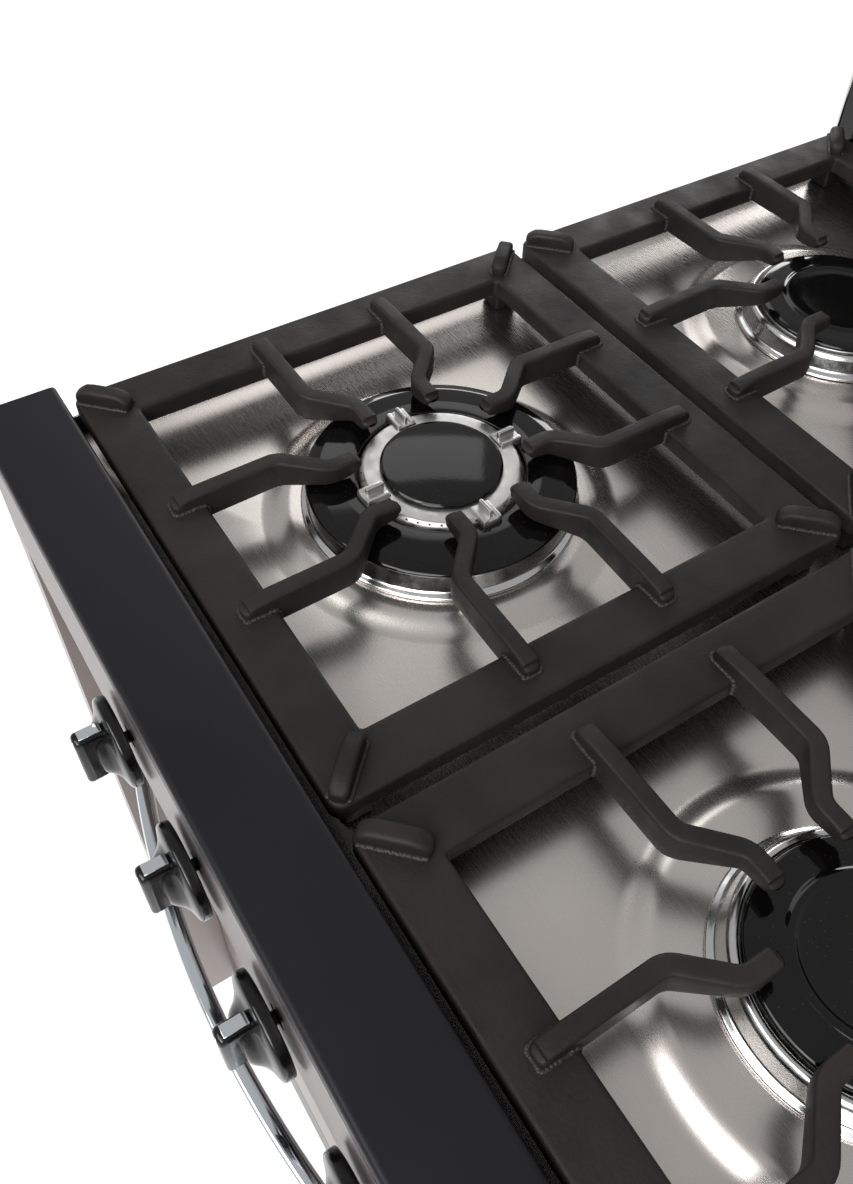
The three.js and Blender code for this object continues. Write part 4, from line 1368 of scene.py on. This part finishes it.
@dataclass
class Top:
    """The stamped cooktop, the dark front ledge and the back guard."""

    shop: Workshop
    burners: list[Vector]
    sheet: float = 1.2
    dome: float = 96.0
    rise: float = 5.0
    skirt: float = 17.0
    hole: float = 38.0
    bend: float = 3.0
    rim: float = 12.0
    rim_start: float = 46.3

    def build(self) -> None:
        """Makes the three pieces on top of the casing."""
        self._cooktop()
        self._ledge()
        self._guard()

    def _dome(self, radius: float) -> float:
        """Height of the stamping above the sheet at a distance from a burner.

        Args:
            radius: The distance.

        Returns:
            The height.
        """
        inner = self.dome + 1 - self.skirt
        return ramp(radius, [(self.hole, self.rise)] + [
            (inner + self.skirt * k / DOME_STEPS,
             self.rise * (0.5 + 0.5 * math.cos(math.pi * k / DOME_STEPS)))
            for k in range(DOME_STEPS + 1)])

    def _cooktop(self) -> None:
        """One sheet with a smooth stamped dome under each burner and turned-up side rims."""
        low, high = corners("cooktop")
        level = low.z + self.sheet
        back = corners("back_guard")[0].y - 0.3
        front = low.y + self.rim_start - 1.5
        work = bmesh.new()
        bend = self.bend
        edge = high.x - self.sheet - bend

        def vert(x: float, y: float, z: float) -> bmesh.types.BMVert:
            """Adds a vertex, given in millimetres.

            Args:
                x: Place along X.
                y: Place along Y.
                z: Place along Z.

            Returns:
                The vertex.
            """
            return work.verts.new(Vector((x, y, z)) * MM)

        rows = [low.y, front, back, high.y]
        right = [vert(edge, y, level) for y in rows]
        left = [vert(-edge, y, level) for y in rows]
        border = left + right[::-1]
        edges = [work.edges.new((border[i], border[(i + 1) % len(border)])) for i in range(len(border))]
        radii = [self.dome + 1 - self.skirt * k / DOME_STEPS for k in range(DOME_STEPS + 1)]
        radii += [70, 60, 50, self.hole]
        domes = []
        for spot in self.burners:
            rings = []
            for radius in radii:
                height = level + self._dome(radius)
                rings.append([vert(spot.x + radius * math.cos(a), spot.y + radius * math.sin(a), height)
                              for a in (2 * math.pi * k / DOME_SIDES for k in range(DOME_SIDES))])
            edges += [work.edges.new((rings[0][k],
                                      rings[0][(k + 1) % DOME_SIDES])) for k in range(DOME_SIDES)]
            domes.append(rings)
        bmesh.ops.triangle_fill(work, use_beauty=True, edges=edges)
        for rings in domes:
            for inner, outer in zip(rings[1:], rings):
                for k in range(DOME_SIDES):
                    m = (k + 1) % DOME_SIDES
                    work.faces.new((outer[k], outer[m], inner[m], inner[k]))
        profile = [(bend * math.sin(a),
                    bend * (1 - math.cos(a))) for a in (math.pi / 2 * k / 6 for k in range(7))]
        profile.append((bend, self.rim - 0.02))
        for side, foot in ((1, right), (-1, left)):
            strip = [foot[1:3]]
            for out, up in profile[1:]:
                strip.append([vert(side * (edge + out), y, level + up) for y in rows[1:3]])
            for a, b in zip(strip, strip[1:]):
                work.faces.new((a[0], a[1], b[1], b[0]))
            for i in (0, 2):
                out = [vert(side * high.x, y, level) for y in rows[i : i + 2]]
                work.faces.new((foot[i], foot[i + 1], out[1], out[0]))
        bmesh.ops.recalc_face_normals(work, faces=work.faces)
        if sum(f.normal.z * f.calc_area() for f in work.faces) < 0:
            bmesh.ops.reverse_faces(work, faces=work.faces)
        for face in work.faces:
            face.smooth = True
        mesh = bpy.data.meshes.new("stamped_cooktop")
        work.to_mesh(mesh)
        work.free()
        made = bpy.data.objects.new("stamped_cooktop", mesh)
        bpy.context.scene.collection.objects.link(made)
        thick = made.modifiers.new("sheet", "SOLIDIFY")
        thick.thickness = self.sheet * MM
        thick.offset = -1.0
        self.shop.place(made, "case", Look.STEEL, "stainless", ("cooktop",))

    def _ledge(self) -> None:
        """The folded counter strip in front of the grates."""
        low, high = corners("front_ledge")
        t, lip = 2.0, 10.0
        outline = [(low.y, high.z - lip), (low.y, high.z), (high.y, high.z), (high.y, low.z),
                   (high.y - t, low.z),
                   (high.y - t, high.z - t), (low.y + t, high.z - t), (low.y + t, high.z - lip)]
        sizes = [0.6, 3.4, 3.4, 0.6, 0.6, 1.4, 1.4, 0.6]
        smooth: list[Point] = []
        for i, size in enumerate(sizes):
            trio = [outline[i - 1], outline[i], outline[(i + 1) % len(outline)]]
            smooth.extend(fillet(trio, size, 8, closed=False)[1:-1])
        shell = Shell()
        shell.loft([[Vector((x, y, z)) for y, z in smooth] for x in (low.x, high.x)])
        made = shell.build("charcoal_ledge", 35)
        self.shop.place(made, "case", Look.LEDGE, "charcoal", ("front_ledge",))

    def _guard(self) -> None:
        """The black upstand at the rear, with a thin bright trim round its edges."""
        low, high = corners("back_guard")
        trim = 3.0
        shell = Shell()
        middle = Vector((0, (low.y + high.y) / 2, 0))
        shell.post(middle, high.x - low.x - 2 * trim + 1, high.y - low.y - 1.2, low.z, high.z - trim + 0.5,
                   1.5)
        made = shell.build("black_guard_panel", 40)
        self.shop.place(made, "case", Look.ENAMEL, "black_enamel", ("back_guard",))
        shell = Shell()
        deep = high.y - low.y
        for side in (-1, 1):
            spot = Vector((side * (high.x - trim / 2), middle.y, 0))
            shell.post(spot, trim, deep, low.z, high.z, 1.2)
        start = len(shell.verts)
        shell.post(Vector((0, 0, 0)), trim, deep, low.x, high.x, 1.2)
        turn = Matrix.Translation((0, middle.y, high.z - trim / 2)) @ Matrix.Rotation(math.pi / 2, 4, "Y")
        shell.turn(turn, start)
        made = shell.build("guard_edge_trim", 40)
        self.shop.place(made, "case", Look.STEEL_TRIM, "black_enamel")


@dataclass
class Casing:
    """The sheet casing, its legs, and the pipework behind the control panel."""

    shop: Workshop
    leg_radius: float = 19.0
    pipe: float = 8.0

    def build(self) -> None:
        """Dresses the sheets and makes the legs and the gas pipe."""
        for node, look, ease in (
            # The side sheets take the darkened stainless copy, whose colour holds painted shade.
            ("left_side_panel", Look.SHADED_CASING, 0.5), ("right_side_panel", Look.SHADED_CASING, 0.5),
            # The front panels take the darkened stainless copy, whose colour holds painted shade.
            ("control_panel", Look.PANEL, 0.4), ("lower_front_panel", Look.PANEL, 0.4),
            ("rear_panel", Look.ZINC, 0.3), ("base_pan", Look.ZINC, 0.3),
            ("hinge_bracket_left", Look.ZINC, 0.3), ("hinge_bracket_right", Look.ZINC, 0.3),
        ):
            self.shop.dress(node, look, ease)
        for end in ("front_left", "front_right", "rear_left", "rear_right"):
            self._leg(end)
        self._pipe()
        self._fixings()

    def _leg(self, end: str) -> None:
        """One adjustable leg: sleeve, threaded stem and foot pad.

        Args:
            end: Which leg, such as front_left.
        """
        low, high = corners(f"leg_{end}")
        foot = Vector(((low.x + high.x) / 2, (low.y + high.y) / 2, 0))
        r, top = self.leg_radius, high.z
        outline: list[Point] = [(0, 0), (r + 1.4, 0), (r + 2, 0.8), (r + 2, 5.2), (r + 1, 6.4), (10.5, 9.6),
                                (8, 10.4)]
        outline += [(6.2 + 0.7 * (k % 2), 11.2 + 0.8 * k) for k in range(19)]
        outline += [(7, 26.2), (r - 1, 27.6), (r, 28.8), (r, top - 7.6), (r + 0.6, top - 6),
                    (r + 7, top - 4.4),
                    (r + 8, top - 3.4), (r + 8, top), (0, top)]
        shell = Shell()
        shell.lathe(outline, foot, sides=72)
        made = shell.build(f"adjustable_leg_{end}", 35)
        self.shop.place(made, "case", Look.STEEL_TRIM, "leg_steel", (f"leg_{end}",))

    def _pipe(self) -> None:
        """The gas manifold with its elbow."""
        low, high = corners("gas_manifold")
        z = (low.z + high.z) / 2
        y, x, bend = low.y + self.pipe, high.x - self.pipe, 22.0
        line: list[Vector] = [Vector((low.x, y, z)), Vector((x - bend, y, z))]
        line += [Vector((x - bend + bend * math.sin(a), y + bend - bend * math.cos(a), z))
                 for a in (math.pi / 2 * k / 10 for k in range(1, 11))]
        line.append(Vector((x, high.y, z)))
        shell = Shell()
        rings = []
        for i, spot in enumerate(line):
            ahead = (line[min(i + 1, len(line) - 1)] - line[max(i - 1, 0)]).normalized()
            side = Vector((ahead.y, -ahead.x, 0))
            rings.append([spot + side * self.pipe * math.cos(a) + Vector((0, 0, self.pipe * math.sin(a)))
                          for a in (2 * math.pi * k / 32 for k in range(32))])
        shell.loft(rings)
        made = shell.build("gas_manifold_pipe", 40)
        self.shop.place(made, "case", Look.ZINC, "galvanised", ("gas_manifold",))

    def _fixings(self) -> None:
        """Screw heads in two columns on the rear panel."""
        studs = stud_tree("pan_screws", Look.STEEL_TRIM)
        low, high = corners("rear_panel")
        spots = [Vector((side * (high.x - 8), high.y - 0.35, low.z + 40 + k * 110)) for side in (-1, 1)
                 for k in range(7)]
        heads = run_tree("rear_screws", spots, [], studs, {
            "Radius": 3.6 * MM, "Height": 0.7 * MM, "Turn": (math.pi / 2, 0.0, 0.0)})
        self.shop.place(heads, "case", Look.STEEL_TRIM, "galvanised")


# ------------------------------------------------------------------ knobs and valves


@dataclass
class Control:
    """One control: its knob, and the valve behind the panel."""

    shop: Workshop
    name: str
    radius: float = 23.0
    gap: float = 2.8
    length: float = 21.7
    wide: float = 9.0
    tall: float = 35.0

    def build(self) -> None:
        """Makes the knob and dresses the valve."""
        low, high = corners(f"knob_{self.name}")
        face = low.y + self.gap + self.length
        centre = Vector(((low.x + high.x) / 2, face, (low.z + high.z) / 2))
        body = f"knob_{self.name}"
        r, back, front = self.radius, self.gap, self.gap + self.length
        skirt = [(0, back), (r - 0.8, back), (r, back + 0.7), (r, back + 4.6), (r - 0.7, back + 5.6),
                 (r - 2.4, back + 6.3), (r - 6.5, back + 7.4), (13.5, back + 9.4), (11.5, back + 12),
                 (10, back + 13.4),
                 (8.6, back + 13.9), (0, back + 14)]
        shell = Shell()
        shell.lathe(fillet(skirt, 1.2, 4, closed=False), centre, "Y", 96)
        self._grip(shell, centre, back + 5.5, front - 0.2)
        shell.lathe([(0, -13.6), (2.6, -13.6), (3, -13), (3, back + 1), (0, back + 1)], centre, "Y", 32)
        made = shell.build(f"moulded_knob_{self.name}", 38)
        self.shop.place(made, body, Look.PHENOLIC, "black_plastic", (body,))
        shell = Shell()
        start = len(shell.verts)
        shell.post(Vector((0, self.tall / 2 - 7.5, 0)), 2.2, 11, front - 1.2, front, 0.25)
        shell.post(Vector((0, self.tall / 2 - 0.1, 0)), 5.4, 0.7, back + 8, front - 3, 0.2)
        self._stand(shell, centre, start)
        made = shell.build(f"pointer_strip_{self.name}", 35)
        self.shop.place(made, body, Look.CHROME, "black_plastic")
        self.shop.dress(f"valve_{self.name}", Look.BRASS, 0.4)
        self.shop.dress(f"valve_plug_{self.name}", Look.BRASS, 0.3)

    @staticmethod
    def _stand(shell: Shell, centre: Vector, start: int) -> None:
        """Turns vertices drawn up along Z to point out of the panel.

        Args:
            shell: The mesh.
            centre: The point that the drawing's origin goes to.
            start: The first vertex to turn.
        """
        shell.turn(Matrix.Translation(centre) @ Matrix.Rotation(math.pi / 2, 4, "X"), start)

    def _grip(self, shell: Shell, centre: Vector, low: float, high: float) -> None:
        """The grip bar across the knob, waisted at its foot and rounded at its crest.

        Args:
            shell: The mesh to add to.
            centre: The knob's middle at the panel's face.
            low: Height of its foot above the face.
            high: Height of its crest.
        """
        start = len(shell.verts)
        rings = []
        for z, wide, tall in (
            (low, self.wide - 0.6, self.tall - 3), (low + 3, self.wide - 0.8, self.tall - 1.4),
            (low + 7, self.wide - 0.6, self.tall - 0.3), (high - 4, self.wide - 0.2, self.tall),
            (high - 2, self.wide, self.tall - 0.2), (high - 0.9, self.wide - 0.6, self.tall - 0.9),
            (high - 0.25, self.wide - 1.8, self.tall - 2.2), (high, self.wide - 3.2, self.tall - 3.8),
        ):
            rings.append([Vector((x, y, z)) for x, y in rect_loop(wide, tall, min(3.4, wide / 2 - 0.3), 6)])
        shell.loft(rings)
        self._stand(shell, centre, start)


# ------------------------------------------------------------------ door


@dataclass
class Door:
    """The oven door: folded skin, two panes, inner liner, bowed handle and the seal behind it."""

    shop: Workshop
    thick: float = 9.0
    bow: float = 61.0
    radius: float = 539.0
    standoff: float = 5.0
    seal_half: float = 236.0
    seal_low: float = 246.0
    seal_high: float = 704.0
    rope: float = 1.1

    def build(self) -> None:
        """Dresses the door's sheets and makes the handle and the seal."""
        # The door skin takes the darkened stainless copy, whose colour holds painted shade.
        self.shop.dress("door_skin", Look.SHADED_CASING, 0.5)
        self.shop.dress("door_liner", Look.OVEN, 0.3)
        self.shop.dress("door_glass", Look.GLASS, 0.3)
        self.shop.dress("door_inner_glass", Look.GLASS, 0.3)
        self._handle()
        self._seal()

    def _handle(self) -> None:
        """A flat chromed bar bowed outwards, on two rounded end blocks."""
        low, high = corners("door_handle")
        z, tall = (low.z + high.z) / 2, high.z - low.z
        face = corners("door_skin")[0].y
        hub = face - self.bow + self.radius
        middle = self.radius - self.thick / 2
        half = math.acos((hub - face + self.standoff) / (self.radius - self.thick))
        rings = []
        stations = [(-1.0, 0.55), (-0.9985, 0.82), (-0.9955, 1.0)]
        stations += [(-0.99 + 1.98 * k / 72, 1.0) for k in range(73)]
        stations += [(0.9955, 1.0), (0.9985, 0.82), (1.0, 0.55)]
        for share, scale in stations:
            angle = share * half
            out = Vector((math.sin(angle), -math.cos(angle), 0))
            spot = Vector((0, hub, z)) + out * middle
            loop = rect_loop(self.thick * scale, tall - (1 - scale) * 5,
                             min(2.6, self.thick * scale / 2 - 0.2), 6)
            rings.append([spot + out * u + Vector((0, 0, v)) for u, v in loop])
        shell = Shell()
        shell.loft(rings)
        end = math.sin(half) * middle - 11
        for side in (-1, 1):
            start = len(shell.verts)
            shell.post(Vector((0, 0, 0)), 19.6, tall - 2, 0.3, self.standoff + 9, 2.2)
            place = Matrix.Translation((side * end, face, z)) @ Matrix.Rotation(math.pi / 2, 4, "X")
            shell.turn(place, start)
        made = shell.build("bowed_handle", 45)
        self.shop.place(made, "door", Look.CHROME, "chrome", ("door_handle",))

    def _seal(self) -> None:
        """The braided rope round the oven's mouth."""
        y = corners("oven_liner")[0].y - self.rope - 0.05
        middle = (self.seal_low + self.seal_high) / 2
        border = rect_loop(2 * self.seal_half, self.seal_high - self.seal_low, 24, 8)
        loop = [Vector((x, y, middle + z)) for x, z in border]
        edges = [(i, (i + 1) % len(loop)) for i in range(len(loop))]
        rope = run_tree("door_seal", loop, edges, wire_tree(Look.ROPE),
                        {"Wire Radius": self.rope * MM, "Sides": 12})
        self.shop.place(rope, "case", Look.ROPE, "oven_enamel")


# ------------------------------------------------------------------ oven


@dataclass
class Oven:
    """The enamelled cavity with its floor tray, burner and wire rack."""

    shop: Workshop
    wire: float = 3.0
    tube: float = 17.0
    port_step: float = 9.0
    port_slant: float = 0.5
    rack_wires: int = 17

    def build(self) -> None:
        """Dresses the liner and makes the burner and the rack."""
        self.shop.dress("oven_liner", Look.OVEN, 0.4)
        self.shop.dress("oven_floor", Look.OVEN, 0.4)
        self._burner()
        self._rack()

    def _burner(self) -> None:
        """A tube burner on two feet, with a row of ports along each side."""
        low, high = corners("oven_burner")
        r, slant = self.tube, self.port_slant
        z = high.z - r
        shell = Shell()
        tube = [(0, 0), (r - 2, 0), (r - 0.6, 0.6), (r, 2), (r, high.y - low.y - 2),
                (r - 0.6, high.y - low.y - 0.6),
                (r - 2, high.y - low.y), (0, high.y - low.y)]
        shell.lathe(tube, Vector((0, high.y, z)), "Y", 64)
        for y in (low.y + 20, high.y - 20):
            shell.post(Vector((0, y, 0)), 6, 18, low.z, z, 0.8)
            shell.post(Vector((0, y, 0)), 50, 18, low.z, low.z + 3, 0.8)
        made = shell.build("oven_tube_burner", 40)
        self.shop.place(made, "case", Look.ALUMINIUM, "aluminium", ("oven_burner",))
        # The tube's ports are dark studs of painted shade, not holes.
        slots = stud_tree("tube_ports", Look.PORT_SHADE)
        count = int((high.y - low.y - 60) / self.port_step)
        for side in (-1, 1):
            x, up = side * (r - 0.3) * math.cos(slant), (r - 0.3) * math.sin(slant)
            spots = [Vector((x, low.y + 30 + self.port_step * k, z + up)) for k in range(count)]
            dots = run_tree(f"tube_ports_{'left' if side < 0 else 'right'}", spots, [], slots, {
                "Radius": 1.3 * MM, "Height": 1.0 * MM, "Turn": (0.0, side * (math.pi / 2 - slant), 0.0)})
            self.shop.place(dots, "case", Look.PORT_SHADE, "aluminium")

    def _rack(self) -> None:
        """Round wires: a closed border and a row of finer wires across it."""
        low, high = corners("oven_rack")
        z = (low.z + high.z) / 2
        wires = wire_tree(Look.CHROME)
        border = rect_loop(high.x - low.x - 2 * self.wire, high.y - low.y - 2 * self.wire, 10, 6)
        middle = (low.y + high.y) / 2
        loop = [Vector((x, middle + y, z)) for x, y in border]
        edges = [(i, (i + 1) % len(loop)) for i in range(len(loop))]
        frame = run_tree("rack_border", loop, edges, wires, {"Wire Radius": 2.9 * MM, "Sides": 20})
        self.shop.place(frame, "case", Look.CHROME, "chrome", ("oven_rack",))
        points: list[Vector] = []
        for k in range(self.rack_wires):
            x = low.x + 2 * self.wire + (high.x - low.x - 4 * self.wire) * (k + 0.5) / self.rack_wires
            points += [Vector((x, low.y + self.wire, z + 1.4)), Vector((x, high.y - self.wire, z + 1.4))]
        for k in range(1, 4):
            y = low.y + (high.y - low.y) * k / 4
            points += [Vector((low.x + self.wire, y, z - 0.9)), Vector((high.x - self.wire, y, z - 0.9))]
        edges = [(2 * i, 2 * i + 1) for i in range(len(points) // 2)]
        grid = run_tree("rack_wires", points, edges, wires, {"Wire Radius": 1.55 * MM, "Sides": 12})
        self.shop.place(grid, "case", Look.CHROME, "chrome")


# ------------------------------------------------------------------ studio


@dataclass
class Studio:
    """Pale floor, soft lights and the camera."""

    place: Triple = (0.1838, -0.36493, 1.29541)
    turn: Triple = (40.995, -1.471, 57.296)
    lens: float = 32.552
    shift: Point = (-0.00978, -0.02558)

    def build(self) -> None:
        """Adds the floor, the world, the lights and the camera."""
        scene = bpy.context.scene
        scene.view_settings.view_transform = "Standard"
        self._floor()
        self._world()
        self._lamp("front_softbox", (1.9, -2.3, 2.5), (0.0, 0.0, 0.8), (1.8, 1.4), 75)
        self._lamp("rear_strip", (-2.4, 1.9, 1.9), (0.0, 0.1, 0.9), (2.2, 0.5), 26)
        self._lamp("cap_softbox", (-1.75, 0.75, 2.6), (-0.15, -0.13, 0.9), (1.1, 0.7), 3.5)
        self._sun("left_daylight", (38, -22, 20), 1.45, 35)
        self._sun("right_daylight", (30, 30, -10), 1.15, 35)
        data = bpy.data.cameras.new("camera")
        data.lens = self.lens
        data.sensor_width = 36
        data.shift_x, data.shift_y = self.shift
        data.clip_start = 0.01
        camera = bpy.data.objects.new("camera", data)
        camera.location = self.place
        camera.rotation_euler = [math.radians(a) for a in self.turn]
        scene.collection.objects.link(camera)
        scene.camera = camera

    def _floor(self) -> None:
        """A plain pale floor, large enough to fill the picture."""
        mesh = bpy.data.meshes.new("studio_floor")
        spots = [(FLOOR * x, FLOOR * y, 0) for x, y in ((-1, -1), (1, -1), (1, 1), (-1, 1))]
        mesh.from_pydata(spots, [], [(0, 1, 2, 3)])
        floor = bpy.data.objects.new("studio_floor", mesh)
        made = bpy.data.materials.new("pale_floor_paint")
        made.use_nodes = True
        shader = made.node_tree.nodes["Principled BSDF"]
        shader.inputs["Base Color"].default_value = (0.9, 0.9, 0.9, 1)
        shader.inputs["Roughness"].default_value = 0.9
        floor.data.materials.append(made)
        bpy.context.scene.collection.objects.link(floor)

    def _world(self) -> None:
        """An even, near-white sky."""
        world = bpy.data.worlds.new("studio")
        world.use_nodes = True
        shade = world.node_tree.nodes["Background"]
        shade.inputs["Color"].default_value = (1.0, 1.0, 1.0, 1)
        shade.inputs["Strength"].default_value = 0.5
        bpy.context.scene.world = world

    def _sun(self, name: str, turn: Triple, strength: float, angle: float) -> None:
        """Adds an even, soft light over the whole floor.

        Args:
            name: The light's name.
            turn: Its turn in degrees.
            strength: Its strength in watts per square metre.
            angle: Its apparent size in degrees.
        """
        data = bpy.data.lights.new(name, "SUN")
        data.energy = strength
        data.angle = math.radians(angle)
        lamp = bpy.data.objects.new(name, data)
        lamp.rotation_euler = [math.radians(a) for a in turn]
        bpy.context.scene.collection.objects.link(lamp)

    def _lamp(self, name: str, spot: Triple, aim: Triple, size: Point, power: float) -> None:
        """Adds one soft rectangular light.

        Args:
            name: The light's name.
            spot: Its place in metres.
            aim: The point that it faces.
            size: Its width and height in metres.
            power: Its power in watts.
        """
        data = bpy.data.lights.new(name, "AREA")
        data.shape = "RECTANGLE"
        data.size, data.size_y = size
        data.energy = power
        lamp = bpy.data.objects.new(name, data)
        lamp.location = spot
        lamp.rotation_euler = (Vector(aim) - Vector(spot)).to_track_quat("-Z", "Y").to_euler()
        bpy.context.scene.collection.objects.link(lamp)


# ------------------------------------------------------------------ the range


def main() -> None:
    """Builds the range on its frame, sets up the studio and logs how many pieces were made."""
    logging.basicConfig(level=logging.INFO, format="%(message)s")
    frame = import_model()
    shop = Workshop(frame)
    names = ("front_left", "front_right", "rear_left", "rear_right")
    middles = []
    for name in names:
        low, high = corners(f"burner_base_{name}")
        middles.append((low + high) / 2)
    beads, ports = bead_tree(), port_tree()
    for seed, name in enumerate(names):
        Grate(shop, name).build(beads, 11 + seed)
        kind = LargeBurner if name == names[0] else SmallBurner
        kind(shop, name).build(ports)
    Top(shop, middles).build()
    Casing(shop).build()
    for name in (*names, "oven"):
        Control(shop, name).build()
    Door(shop).build()
    Oven(shop).build()
    Studio().build()
    LOG.info("%d pieces in all", shop.count)


if __name__ == "__main__":
    main()
